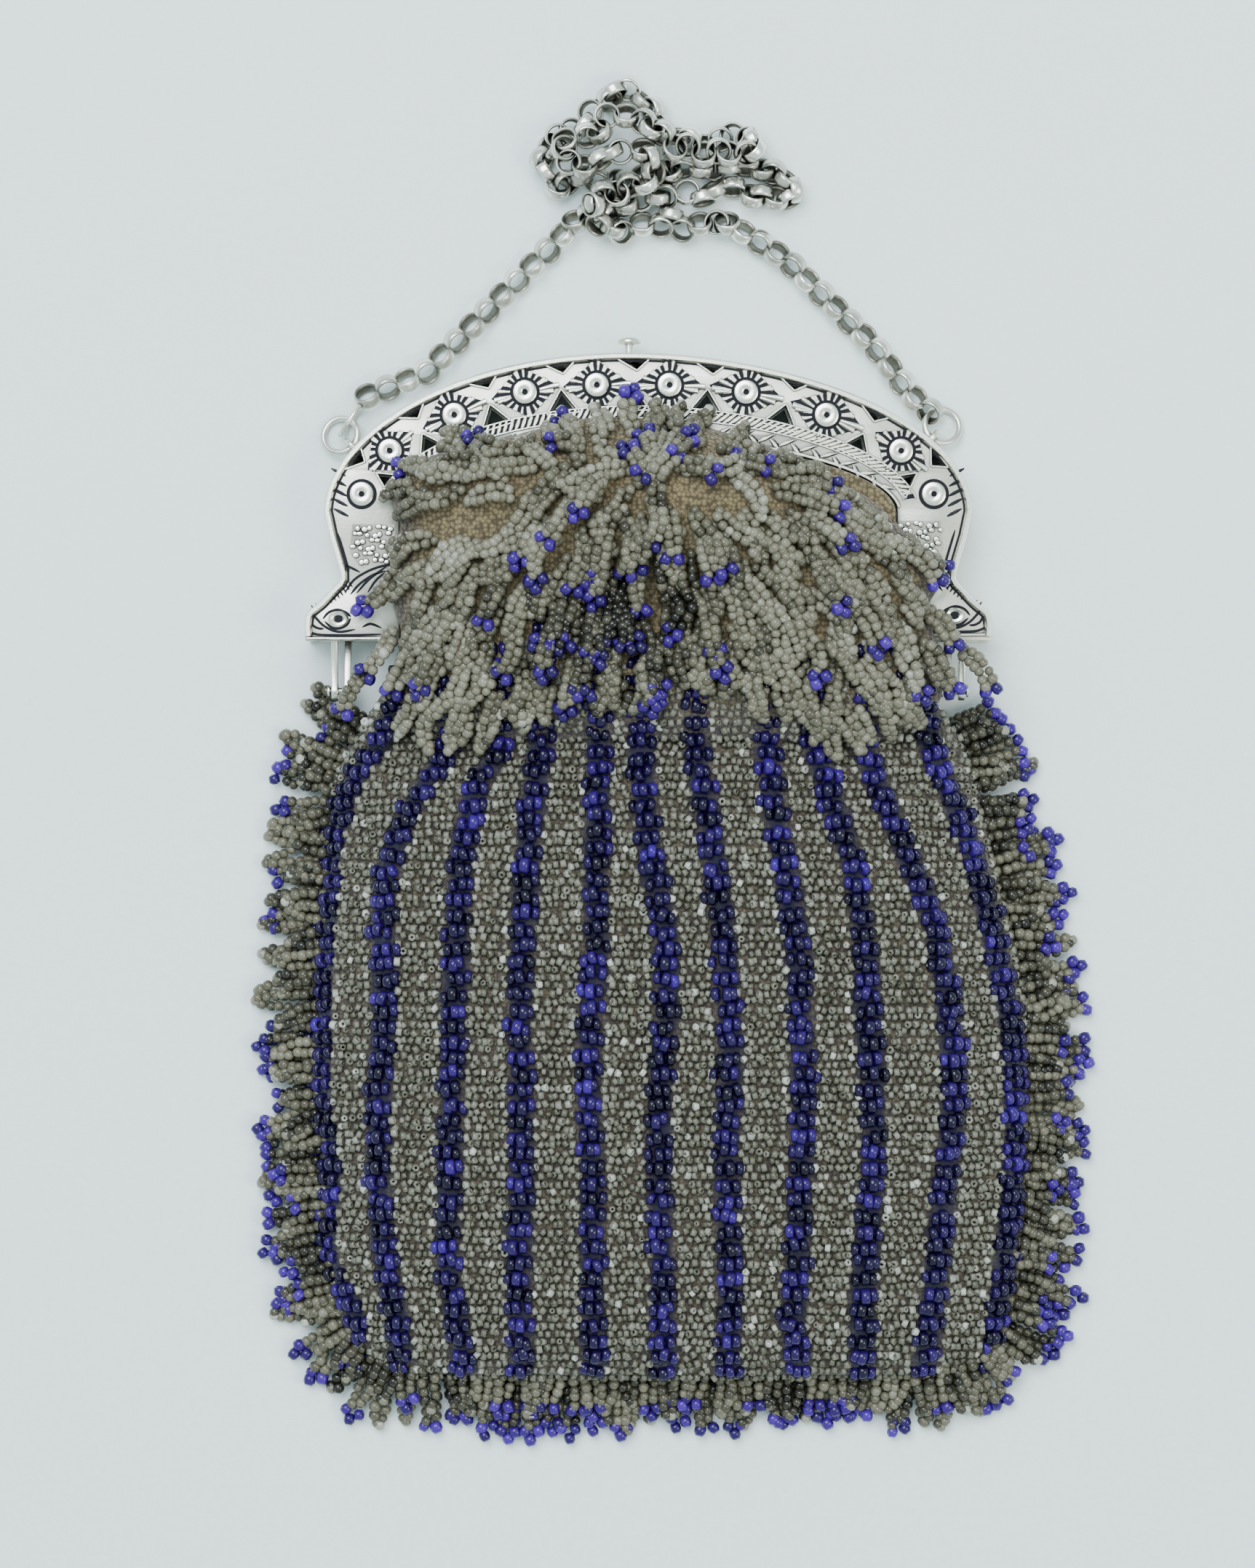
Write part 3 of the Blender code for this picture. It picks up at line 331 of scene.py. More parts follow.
def ridge(path: Array, widths: Array, rise: float, base: float, sink: float = 0.15 * MM) -> Shape:
    """Rounded bar that stands on a flat face and tapers with its widths.

    Args:
        path: plan places along the bar.
        widths: half width at each place.
        rise: height above the face.
        base: level of the face.
        sink: depth that the bar runs into the face.

    Returns:
        The bar's points and faces.
    """
    path = np.asarray(path, float)
    widths = np.broadcast_to(np.asarray(widths, float), len(path))
    along = unit(np.gradient(path, axis=0))
    across = np.stack([-along[:, 1], along[:, 0]], axis=1)
    section = [(-1, -sink), (-1, 0.45 * rise), (-0.45, rise), (0.45, rise), (1, 0.45 * rise), (1, -sink)]
    rows = []
    for place, side, width in zip(path, across, widths):
        for out, up in section:
            x, y = place + side * width * out
            rows.append((x, y, base + up))
    return np.array(rows), tube_faces(len(path), len(section))


def lathe(profile: Array, steps: int) -> Shape:
    """Closed turned shape about Z.

    Args:
        profile: (radius, height) pairs from the axis at one end to the axis at the other.
        steps: facets round the axis.

    Returns:
        The shape's points and faces.
    """
    profile = np.asarray(profile, float)
    inner = profile[1:-1]
    turn = 2 * np.pi * np.arange(steps) / steps
    points = [(0.0, 0.0, profile[0][1]), (0.0, 0.0, profile[-1][1])]
    for radius, height in inner:
        points += [(radius * math.cos(t), radius * math.sin(t), height) for t in turn]
    here = np.arange(steps)
    after = (here + 1) % steps
    sides = [
        np.stack([low + here, low + after, low + steps + after, low + steps + here], axis=1)
        for low in range(2, 2 + (len(inner) - 1) * steps, steps)
    ]
    last = 2 + (len(inner) - 1) * steps
    caps = np.concatenate([
        np.stack([np.zeros(steps, int), 2 + after, 2 + here], axis=1),
        np.stack([np.ones(steps, int), last + here, last + after], axis=1),
    ])
    return np.array(points), [*sides, caps]


def barrel_shape(radius: float, length: float, around: int) -> Shape:
    """Closed barrel along X, for beads whose holes stay hidden on their strand.

    Args:
        radius: its largest radius.
        length: its length.
        around: facets round it.

    Returns:
        The barrel's points and faces.
    """
    end, waist = length / 2, length / 5
    mouth = 0.62 * radius
    profile = [(0, -end), (mouth, -end), (radius, -waist), (radius, waist), (mouth, end), (0, end)]
    points, faces = lathe(profile, around)
    return points[:, [2, 0, 1]], faces


def moved(shape: Shape, turn: Array, place: Array) -> Shape:
    """Turn a shape by a matrix and then move it."""
    return shape[0] @ np.asarray(turn, float).T + np.asarray(place, float), shape[1]


def plate_shape(outlines: list[Array], low: float, high: float, soften: float = 0.0) -> Shape:
    """Flat plate with holes between two levels, its edges softened.

    Args:
        outlines: closed outlines; inner ones are holes.
        low: lower level.
        high: upper level.
        soften: radius of the rounded edges.

    Returns:
        The plate's points and faces.
    """
    data = bpy.data.curves.new("plate", "CURVE")
    data.dimensions = "2D"
    data.fill_mode = "BOTH"
    data.extrude = (high - low) / 2 - soften
    data.bevel_depth = soften
    data.bevel_resolution = 1
    data.offset = -soften
    for outline in outlines:
        spline = data.splines.new("POLY")
        spline.points.add(len(outline) - 1)
        for place, (x, y) in zip(spline.points, outline):
            place.co = (x, y, 0.0, 1.0)
        spline.use_cyclic_u = True
    obj = bpy.data.objects.new("plate", data)
    bpy.context.scene.collection.objects.link(obj)
    bpy.context.view_layer.update()
    mesh = bpy.data.meshes.new_from_object(obj.evaluated_get(bpy.context.evaluated_depsgraph_get()))
    work = bmesh.new()
    work.from_mesh(mesh)
    bmesh.ops.remove_doubles(work, verts=work.verts, dist=0.002 * MM)
    bmesh.ops.recalc_face_normals(work, faces=work.faces)
    points = np.array([vertex.co[:] for vertex in work.verts])
    points[:, 2] += (low + high) / 2
    by_size: dict[int, list[list[int]]] = {}
    for face in work.faces:
        by_size.setdefault(len(face.verts), []).append([vertex.index for vertex in face.verts])
    work.free()
    bpy.data.objects.remove(obj, do_unlink=True)
    bpy.data.curves.remove(data)
    bpy.data.meshes.remove(mesh)
    return points, [np.array(faces) for faces in by_size.values()]


def resample(path: Array, spacing: float) -> Array:
    """Evenly spaced points along a polyline.

    Args:
        path: its points, one row each.
        spacing: wanted distance.

    Returns:
        The new points, with both ends kept.
    """
    reached = np.concatenate([[0], np.cumsum(np.linalg.norm(np.diff(path, axis=0), axis=1))])
    count = max(int(round(reached[-1] / spacing)), 1)
    wanted = np.linspace(0, reached[-1], count + 1)
    return np.stack([np.interp(wanted, reached, column) for column in path.T], axis=1)


def smooth_curve(route: Array, steps: int) -> Array:
    """Smooth curve through a route's points.

    Args:
        route: the points, one row each.
        steps: new points for each stretch.

    Returns:
        Points along the curve.
    """
    route = np.asarray(route, float)
    padded = np.concatenate([[2 * route[0] - route[1]], route, [2 * route[-1] - route[-2]]])
    share = (np.arange(steps) / steps)[:, None]
    pieces = []
    for p0, p1, p2, p3 in zip(padded, padded[1:], padded[2:], padded[3:]):
        square = (2 * p0 - 5 * p1 + 4 * p2 - p3) * share**2
        cube = (3 * p1 - p0 - 3 * p2 + p3) * share**3
        pieces.append(0.5 * (2 * p1 + (p2 - p0) * share + square + cube))
    return np.concatenate([*pieces, route[-1:]])


# Outer edge of the frame below its arch: shares of the half width and of the arm's drop
ARM_ROWS = np.array([
    (0.984, 0.19), (0.957, 0.42), (0.949, 0.52), (0.974, 0.59),
    (1.015, 0.70), (1.052, 0.78), (1.060, 0.88), (1.056, 1.00),
])
# Daisies of one side: shares of the half width and of the arch's height
DAISIES = ((0.112, 0.795), (0.341, 0.751), (0.574, 0.607), (0.788, 0.382), (0.882, 0.111))
# Pierced triangles between two daisies: half base, its level, tip shift and tip level
PIERCINGS = ((0.21, 0.325, 0.045, 0.19), (0.19, -0.285, 0.0, -0.03))
LUG_DEGREES = {"left": 155.0, "right": 28.0}
# Engraved lines of a head, in millimetres from the eye of the left one
HEAD_LINES = (
    ((-2.25, 0.0), (-1.4, 0.95), (-0.1, 1.33), (1.2, 0.85), (1.75, 0.3)),
    ((-2.0, -0.35), (-1.0, -1.2), (0.1, -1.38), (1.2, -0.85), (1.75, 0.1)),
    ((-4.1, 1.0), (-3.2, 0.1), (-2.3, -0.85), (-1.0, -1.6), (0.4, -1.85), (2.4, -1.5)),
    ((-4.15, 0.0), (-3.7, -0.9), (-2.9, -1.35), (-2.1, -1.4)),
    ((-4.7, -1.55), (-3.6, -2.1), (-2.2, -2.3), (1.6, -2.35), (6.5, -2.2)),
    ((0.9, 3.7), (2.2, 5.6), (4.3, 6.9), (6.3, 7.6), (8.2, 7.9)),
    ((1.7, 3.5), (3.0, 5.0), (4.9, 6.3), (6.7, 6.9)),
    ((2.6, 3.7), (4.4, 5.7), (7.1, 7.7)),
    ((4.2, 3.8), (5.6, 5.8), (7.8, 7.3)),
    ((5.4, 2.8), (5.8, 4.5), (6.8, 5.9), (7.8, 7.0)),
    ((7.9, 6.3), (8.0, 4.5), (7.6, 2.6)),
    ((6.0, 3.0), (7.6, 3.4)),
    ((6.0, 4.0), (7.7, 4.4)),
    ((6.4, 4.9), (7.8, 5.3)),
    ((-0.1, 12.3), (0.6, 10.0), (1.3, 7.6), (1.5, 6.8)),
    ((0.4, 7.9), (1.7, 7.4), (3.1, 6.7)),
    ((3.4, -1.2), (4.6, -0.7), (6.2, -1.3)),
)
HEAD_EYES = {-1: (-44.5, -15.4), 1: (44.0, -14.9)}


@dataclass(frozen=True)
class Outline:
    """Plan of the frame: a leaning arch on two arms that end in heads."""

    half_width: float = 46.6 * MM
    height: float = 22.9 * MM
    power: float = 1.93
    lean: float = -0.12
    band: float = 12.5 * MM
    arm: float = 10.8 * MM
    drop: float = 18.5 * MM
    steps: int = 72

    def leaning(self, x: Array, y: Array) -> Array:
        """Shift arch places sideways, most at the top of the arch."""
        share = np.minimum(np.abs(x) / self.half_width, 1.0)
        return np.stack([x + self.lean * np.maximum(y, 0.0) * (1 - share**2), y], axis=-1)

    def arch(self, degrees: Array, inset_x: float, inset_y: float) -> Array:
        """Places on the arch.

        Args:
            degrees: angles from the right springing.
            inset_x: how far the arch is drawn in at its sides.
            inset_y: how far it is drawn in at its top.

        Returns:
            One plan place for each angle.
        """
        angle = np.radians(degrees)
        across = np.sign(np.cos(angle)) * np.abs(np.cos(angle)) ** (2 / self.power)
        up = np.abs(np.sin(angle)) ** (2 / self.power)
        return self.leaning(across * (self.half_width - inset_x), up * (self.height - inset_y))

    def arm_edge(self, side: int) -> Array:
        """Outer edge of one arm from the arch down; side is -1 or 1."""
        rows = ARM_ROWS * (side * self.half_width, -self.drop)
        return smooth_curve(np.array(rows), 4)[:-1]

    def edge(self) -> Array:
        """Outer edge from the left arm's foot over the arch to the right arm's foot."""
        top = self.arch(np.linspace(180, 0, self.steps), 0.0, 0.0)
        foot = [self.half_width * ARM_ROWS[-1][0], -self.drop]
        left, right = self.arm_edge(-1), self.arm_edge(1)
        return np.concatenate([[(-foot[0], foot[1])], left[::-1], top, right, [foot]])

    def whole(self) -> Array:
        """Closed outline of the band with its opening."""
        inside = self.half_width - self.arm
        inner = self.arch(np.linspace(0, 180, self.steps), self.arm, self.band)
        return np.concatenate([[(-inside, -self.drop)], self.edge(), [(inside, -self.drop)], inner])

    def daisy_places(self) -> Array:
        """Centres of the daisies from left to right."""
        table = np.array(DAISIES) * (self.half_width, self.height)
        right = self.leaning(table[:, 0], table[:, 1])
        left = self.leaning(-table[:, 0], table[:, 1])
        return np.concatenate([left[::-1], right])

    def triangles(self) -> list[Array]:
        """Pierced triangles between neighbouring daisies."""
        places = self.daisy_places()
        gaps = np.linalg.norm(np.diff(places, axis=0), axis=1)
        result = []
        for one, two, gap in zip(places, places[1:], gaps):
            along = (two - one) / gap
            out = left_of(along)
            middle = (one + two) / 2
            for base, level, shift, tip in PIERCINGS:
                scale = gaps.max() * (gap / gaps.max()) ** 0.75
                low = middle + out * gaps.max() * level
                corners = [
                    low - along * scale * base,
                    low + along * scale * base,
                    middle + along * scale * shift + out * gaps.max() * tip,
                ]
                result.append(np.array(corners))
        return result

    def normal(self, degrees: float) -> Array:
        """Outward direction of the arch's edge at an angle, in 3-D."""
        before, after = self.arch(np.array([degrees - 0.5, degrees + 0.5]), 0.0, 0.0)
        along = unit(after - before)
        return np.array([along[1], -along[0], 0.0])


OUTLINE = Outline()


def offset(path: Array, distance: float) -> Array:
    """Draw an open path in towards its right-hand side."""
    along = unit(np.gradient(path, axis=0))
    return path + np.stack([along[:, 1], -along[:, 0]], axis=1) * distance


@dataclass(frozen=True)
class OxidisedSilver:
    """Cast sterling silver, polished over a sulphide patina.

    The high parts shine nearly white and the grooves stay black, so the relief
    reads from afar.
    """

    bright: str = "#F1F0E4"
    worn: str = "#B3B2A6"
    oxide: str = "#26262A"
    # Casting grain of about 0.35 mm and polishing clouds of about 4 mm
    grain: float = 1 / (0.35 * MM)
    clouds: float = 1 / (4 * MM)
    # Reach over which a recess darkens
    recess: float = 0.9 * MM

    def make(self, name: str) -> bpy.types.Material:
        """Make the material.

        Args:
            name: the material's name.

        Returns:
            The material.
        """
        nodes = NodeTree(name)
        place = nodes.add("TexCoord").outputs["Object"]
        tone = nodes.add("Attribute", {"attribute_name": "tone"}).outputs["Fac"]
        cloud = nodes.add("TexNoise", Vector=place, Scale=self.clouds, Detail=3.0)
        grain = nodes.add("TexNoise", Vector=place, Scale=self.grain, Detail=2.0)
        hollow = nodes.add("AmbientOcclusion", {"samples": 6}, Distance=self.recess)
        open_air = nodes.add("MapRange", Value=hollow.outputs["AO"], From_Min=0.25, From_Max=0.85)
        scale_and_shift = {"operation": "MULTIPLY_ADD"}
        clean = nodes.add("Math", {"operation": "MULTIPLY"}, i0=tone, i1=open_air.outputs["Result"])
        blotch = nodes.add("Math", scale_and_shift, i0=cloud.outputs["Fac"], i1=0.35, i2=-0.17)
        clamped_sum = {"operation": "ADD", "use_clamp": True}
        mask = nodes.add("Math", clamped_sum, i0=clean.outputs[0], i1=blotch.outputs[0])
        stops = [(0.12, self.oxide), (0.54, self.worn), (0.95, self.bright)]
        colour = nodes.ramp(mask.outputs[0], stops)
        rough = nodes.add("MapRange", Value=mask.outputs[0], To_Min=0.55, To_Max=0.24)
        bump = nodes.add("Bump", Strength=0.25, Distance=0.06 * MM, Height=grain.outputs["Fac"])
        nodes.feed(nodes.shader, Base_Color=colour, Roughness=rough.outputs["Result"], Metallic=1.0)
        nodes.feed(nodes.shader, Normal=bump.outputs["Normal"])
        return nodes.material


@dataclass(frozen=True)
class SeedGlass:
    """Drawn glass tube, cut and fire-polished into seed beads.

    Each bead shows a small sharp highlight and its own depth of colour.
    """

    stops: tuple[tuple[float, str], ...]
    roughness: float = 0.1
    clearness: float = 0.0
    ior: float = 1.52
    # Handled beads are dulled, so they mirror the room less than new ones
    shine: float = 0.36
    # Streaks of the drawn tube, about 0.5 mm apart
    streak: float = 1 / (0.5 * MM)

    def make(self, name: str) -> bpy.types.Material:
        """Make the material.

        Args:
            name: the material's name.

        Returns:
            The material.
        """
        nodes = NodeTree(name)
        place = nodes.add("TexCoord").outputs["Object"]
        tone = nodes.add("Attribute", {"attribute_name": "tone"}).outputs["Fac"]
        streaks = nodes.add("TexNoise", Vector=place, Scale=self.streak, Detail=1.0)
        scale_and_shift = {"operation": "MULTIPLY_ADD"}
        uneven = nodes.add("Math", scale_and_shift, i0=streaks.outputs["Fac"], i1=0.3, i2=-0.15)
        clamped_sum = {"operation": "ADD", "use_clamp": True}
        mask = nodes.add("Math", clamped_sum, i0=tone, i1=uneven.outputs[0])
        colour = nodes.ramp(mask.outputs[0], list(self.stops))
        bump = nodes.add("Bump", Strength=0.12, Distance=0.05 * MM, Height=streaks.outputs["Fac"])
        nodes.feed(nodes.shader, Base_Color=colour, Roughness=self.roughness, IOR=self.ior)
        nodes.feed(nodes.shader, Transmission_Weight=self.clearness, Specular_IOR_Level=self.shine)
        nodes.feed(nodes.shader, Normal=bump.outputs["Normal"])
        return nodes.material


BLUE_GLASS = SeedGlass(
    ((0.0, "#07031C"), (0.4, "#150738"), (0.75, "#270F5C"), (1.0, "#371A80")),
    0.12,
)
TIP_GLASS = SeedGlass(
    ((0.0, "#130638"), (0.45, "#260D5C"), (0.8, "#361678"), (1.0, "#472496")),
    0.14,
)
CLEAR_GLASS = SeedGlass(
    ((0.0, "#4C4B3F"), (0.35, "#6D6C5F"), (0.7, "#868579"), (1.0, "#C8CAC1")),
    0.13, 0.2,
)
# The darkest stops of the loop glass give the painted shade of the loops in the hollow of the puffed top
FRINGE_GLASS = SeedGlass(
    ((0.0, "#1E1D18"), (0.22, "#4F4C3E"), (0.5, "#7F7B68"), (0.8, "#9C9987"), (1.0, "#D2D3C8")),
    0.14, 0.35,
)


@dataclass(frozen=True)
class KnitThread:
    """Cotton or silk thread, hand-knitted in stitches of about 0.6 mm.

    It gives a matt beige ground, darker between the stitches, and mixes in a painted shade colour by the tone
    attribute.
    """

    light: str = "#9C8B64"
    middle: str = "#776A4C"
    dark: str = "#463B27"
    # Painted shade colour, mixed in by the tone attribute
    shadowed: str = "#12102C"
    stitch: float = 1 / (0.62 * MM)

    def make(self, name: str) -> bpy.types.Material:
        """Make the material.

        Args:
            name: the material's name.

        Returns:
            The material.
        """
        nodes = NodeTree(name)
        place = nodes.add("TexCoord").outputs["Object"]
        stitches = nodes.add("TexVoronoi", Vector=place, Scale=self.stitch, Randomness=0.7)
        fuzz = nodes.add("TexNoise", Vector=place, Scale=self.stitch * 4, Detail=3.0)
        gap = nodes.add("MapRange", Value=stitches.outputs["Distance"], From_Min=0.15, From_Max=0.75)
        nodes.feed(gap, To_Min=1.0, To_Max=0.0)
        multiply = {"operation": "MULTIPLY"}
        mixed = nodes.add("Math", multiply, i0=gap.outputs["Result"], i1=fuzz.outputs["Fac"])
        stops = [(0.05, self.dark), (0.3, self.middle), (0.6, self.light)]
        thread = nodes.ramp(mixed.outputs[0], stops)
        tone = nodes.add("Attribute", {"attribute_name": "tone"}).outputs["Fac"]
        colour = nodes.add("Mix", {"data_type": "RGBA"}, i0=tone, i6=thread, i7=linear(self.shadowed))
        bump = nodes.add("Bump", Strength=0.9, Distance=0.35 * MM, Height=mixed.outputs[0])
        nodes.feed(nodes.shader, Base_Color=colour.outputs[2], Roughness=0.85, Sheen_Weight=0.25)
        nodes.feed(nodes.shader, Normal=bump.outputs["Normal"])
        return nodes.material


@dataclass
class SilverFrame:
    """Two pierced halves of the frame, their hinges and the press button."""

    depth: float = 9.3 * MM
    half_depth: float = 4.5 * MM
    plate: float = 1.5 * MM
    skirt: float = 1.2 * MM
    soften: float = 0.12 * MM
    hinge_y: float = -25.7 * MM
    leg_out: float = 44.78 * MM
    leg_thickness: float = 0.95 * MM
    leg_spacing: float = 0.9 * MM
    eye_radius: float = 1.35 * MM
    pin_radius: float = 0.5 * MM
    ground_depth: float = 0.1 * MM
    ground_rise: float = 0.03 * MM
    daisy_half: float = 3.75 * MM
    petals: int = 26
    petal_start: float = 2.15 * MM
    petal_spread: float = 0.37
    hatch_pitch: float = 0.92 * MM
    hatch_inset: Point = (7.7 * MM, 9.4 * MM)
    scale_pitch: Point = (0.98, 0.95)
    crest_lines: int = 11
    finish: OxidisedSilver = field(default_factory=OxidisedSilver)

    def bar(self, shells: Shells, path: Array, widths: Array | float, rise: float) -> None:
        """Rounded bright bar on the frame's face.

        Args:
            shells: where it goes.
            path: plan places along it.
            widths: half width, one for all or one for each place.
            rise: its height.
        """
        shells.add(*ridge(path, widths, rise, self.depth), 1.0)

    def ground(self, shells: Shells, outline: Array, tone: float) -> None:
        """Thin ground that shows between the raised parts.

        Args:
            shells: where it goes.
            outline: its closed outline.
            tone: its shade.
        """
        low, high = self.depth - self.ground_depth, self.depth + self.ground_rise
        shells.add(*plate_shape([outline], low, high), tone)

    def stud(
        self,
        shells: Shells,
        profile: list[Point],
        steps: int,
        place: Array,
        tone: float,
        stretch: Point = (1.0, 1.0),
    ) -> None:
        """Turned shape on the frame's face.

        Args:
            shells: where it goes.
            profile: (radius, height) pairs in millimetres.
            steps: facets round it.
            place: its plan place.
            tone: its shade.
            stretch: its scale across and along.
        """
        shape = lathe(np.array(profile) * MM, steps)
        shells.add(*moved(shape, np.diag([*stretch, 1.0]), (*place, self.depth)), tone)

    def band(self, shells: Shells, low: float, wall_low: float, wall_high: float) -> None:
        """Pierced plate and the wall that runs round its outer edge.

        Args:
            shells: where they go.
            low: level of the plate's underside.
            wall_low: lower level of the wall.
            wall_high: upper level of the wall.
        """
        outlines = [OUTLINE.whole(), *OUTLINE.triangles()]
        shells.add(*plate_shape(outlines, low, low + self.plate, self.soften), 0.62)
        edge = OUTLINE.edge()
        wall = np.concatenate([offset(edge, 0.05 * MM), offset(edge, self.skirt)[::-1]])
        shells.add(*plate_shape([wall], wall_low, wall_high, self.soften), 0.9)

    def legs(self, shells: Shells, front: bool) -> None:
        """Hinge legs under both heads, each with a round eye.

        Args:
            shells: where they go.
            front: True for the front half's outer legs.
        """
        out = self.leg_out + self.leg_thickness / 2 - (0 if front else self.leg_spacing + self.leg_thickness)
        top = -OUTLINE.drop + 0.8 * MM
        middle = self.depth / 2
        rise = 1 if front else -1
        turn = np.radians(np.linspace(60, 300, 13))
        curve = np.stack([self.hinge_y + self.eye_radius * np.cos(turn), self.eye_radius * np.sin(turn)], axis=1)
        outline = np.concatenate([[(top, 0.45 * MM), (top, 2.75 * MM)], curve])
        outline[:, 1] *= rise
        hole = np.linspace(0, 2 * np.pi, 17)[:-1]
        reach = self.pin_radius + 0.3 * MM
        eye = np.stack([self.hinge_y + reach * np.cos(hole), reach * np.sin(hole)], axis=1)
        half = self.leg_thickness / 2
        for side in (-1, 1):
            shape = plate_shape([outline, eye], -half, half, self.soften)
            turned = np.array([[0, 0, 1], [1, 0, 0], [0, 1, 0]])
            shells.add(*moved(shape, turned, (side * out, 0, middle)), 0.85)

    def back(self) -> None:
        """Back half, plain, with the two lugs for the rings."""
        shells = Shells()
        self.band(shells, 0.0, self.plate - 0.3 * MM, self.half_depth)
        self.legs(shells, False)
        for degrees in LUG_DEGREES.values():
            centre, out = lug_place(degrees)
            shape = ring_shape(1.55 * MM, 0.75 * MM, 0.8 * MM, 24, 10)
            turn = turns_of(np.array([[-out[1], out[0], 0]]), np.array([[0.0, 0, 1]]))[0]
            shells.add(*moved(shape, turn, centre), 0.9)
        obj = shells.build("back_half", self.finish.make("oxidised_silver_back"), 40)
        dress(obj, Body.BAG, Slot.SILVER, "back_frame")

    def daisy(self, shells: Shells, places: Array, index: int) -> None:
        """One daisy: a dark ground, radiating petals and a dished eye.

        Args:
            shells: where it goes.
            places: centres of all daisies.
            index: which of them.
        """
        centre = places[index]
        before, after = places[max(index - 1, 0)], places[min(index + 1, len(places) - 1)]
        along = unit(after - before)
        out = left_of(along)
        spacing = (np.linalg.norm(after - centre) + np.linalg.norm(centre - before)) / 2
        half_length, half_width = spacing * 0.47, self.daisy_half
        if index in (0, len(places) - 1):
            self.stud(shells, [(0, 0.03), (2.2, 0.03), (2.2, -0.1), (0, -0.1)], 32, centre, 0.05)
        else:
            far, wide = along * half_length, out * half_width
            self.ground(shells, np.array([centre + far, centre + wide, centre - far, centre - wide]), 0.05)
            for k, degrees in enumerate(np.arange(0, 360, 360 / self.petals)):
                angle = math.radians(degrees + 5 * math.sin(k * 2.1))
                ray = along * math.cos(angle) + out * math.sin(angle)
                reach = 1 / (abs(math.cos(angle)) / half_length + abs(math.sin(angle)) / half_width)
                if reach < self.petal_start + 0.35 * MM:
                    continue
                steps = np.linspace(self.petal_start, reach, 3)
                spread = math.radians(360 / self.petals) * self.petal_spread
                self.bar(shells, centre + steps[:, None] * ray, steps * spread, 0.28 * MM)
        dish = [(0, 0.05), (0.34, 0.06), (0.42, 0.48), (0.6, 0.58), (1.4, 0.6), (1.68, 0.5)]
        self.stud(shells, [*dish, (1.82, 0.16), (1.84, -0.15), (0, -0.15)], 24, centre, 1.0)
        self.stud(shells, [(0, 0.1), (0.36, 0.1), (0.36, -0.1), (0, -0.1)], 12, centre, 0.0)

    def line(self, shells: Shells, path: Array, half_width: float, tone: float = 0.0) -> None:
        """Engraved line, drawn as the oxide that fills it.

        Args:
            shells: where it goes.
            path: plan places.
            half_width: half its width.
            tone: its shade.
        """
        count = len(path)
        widths = half_width * np.minimum(1, np.minimum(np.arange(count), np.arange(count)[::-1]) / 2 + 0.35)
        shells.add(*ridge(path, widths, 0.035 * MM, self.depth), tone)

    def rims(self, shells: Shells) -> None:
        """Half-round rim, its inner line and the rims round the piercings."""
        edge = resample(OUTLINE.edge()[1:-1], 0.7 * MM)
        self.bar(shells, offset(edge, 0.52 * MM), 0.5 * MM, 0.65 * MM)
        self.line(shells, offset(edge, 1.2 * MM)[2:-2], 0.13 * MM, 0.1)
        inset = 0.35 * MM
        inner = OUTLINE.arch(np.linspace(176, 4, 90), OUTLINE.arm - inset, OUTLINE.band - inset)
        self.bar(shells, inner, 0.3 * MM, 0.35 * MM)
        for corners in OUTLINE.triangles():
            middle = corners.mean(axis=0)
            grown = middle + (corners - middle) * 1.16
            for one, two in zip(grown, np.roll(grown, -1, axis=0)):
                self.bar(shells, np.linspace(one, two, 4), 0.17 * MM, 0.3 * MM)

    def hatching(self, shells: Shells) -> None:
        """Band of slanted bars inside the daisies, with leaves below it."""
        face = self.depth
        angles = np.linspace(172, 8, 150)
        outer, inner = (OUTLINE.arch(angles, inset, inset) for inset in self.hatch_inset)
        self.ground(shells, np.concatenate([outer, inner[::-1]]), 0.05)
        for border in (outer, inner):
            self.bar(shells, border, 0.16 * MM, 0.3 * MM)
        tops = resample(outer, self.hatch_pitch)
        feet = resample(inner, self.hatch_pitch * 0.955)
        count = min(len(tops), len(feet)) - 1
        for i in range(count):
            path = np.linspace(tops[min(i + 2, count)], feet[i], 3)
            shells.add(*ridge(path, np.array([0.22, 0.28, 0.22]) * MM, 0.28 * MM, face), 0.95)
        leaf = resample(OUTLINE.arch(np.linspace(168, 12, 120), 10.9 * MM, 10.9 * MM), 1.55 * MM)
        for i, place in enumerate(leaf[:-1]):
            along = unit(leaf[i + 1] - place)
            out = left_of(along)
            sway = out * (1 if i % 2 else -1)
            path = np.array([
                place - along * 0.8 * MM - sway * 0.35 * MM,
                place + sway * 0.25 * MM,
                place + along * 1.0 * MM + sway * 0.95 * MM,
            ])
            self.bar(shells, path, np.array([0.1, 0.36, 0.08]) * MM, 0.3 * MM)
            self.line(shells, path + out * 0.12 * MM + along * 0.5 * MM, 0.12 * MM)

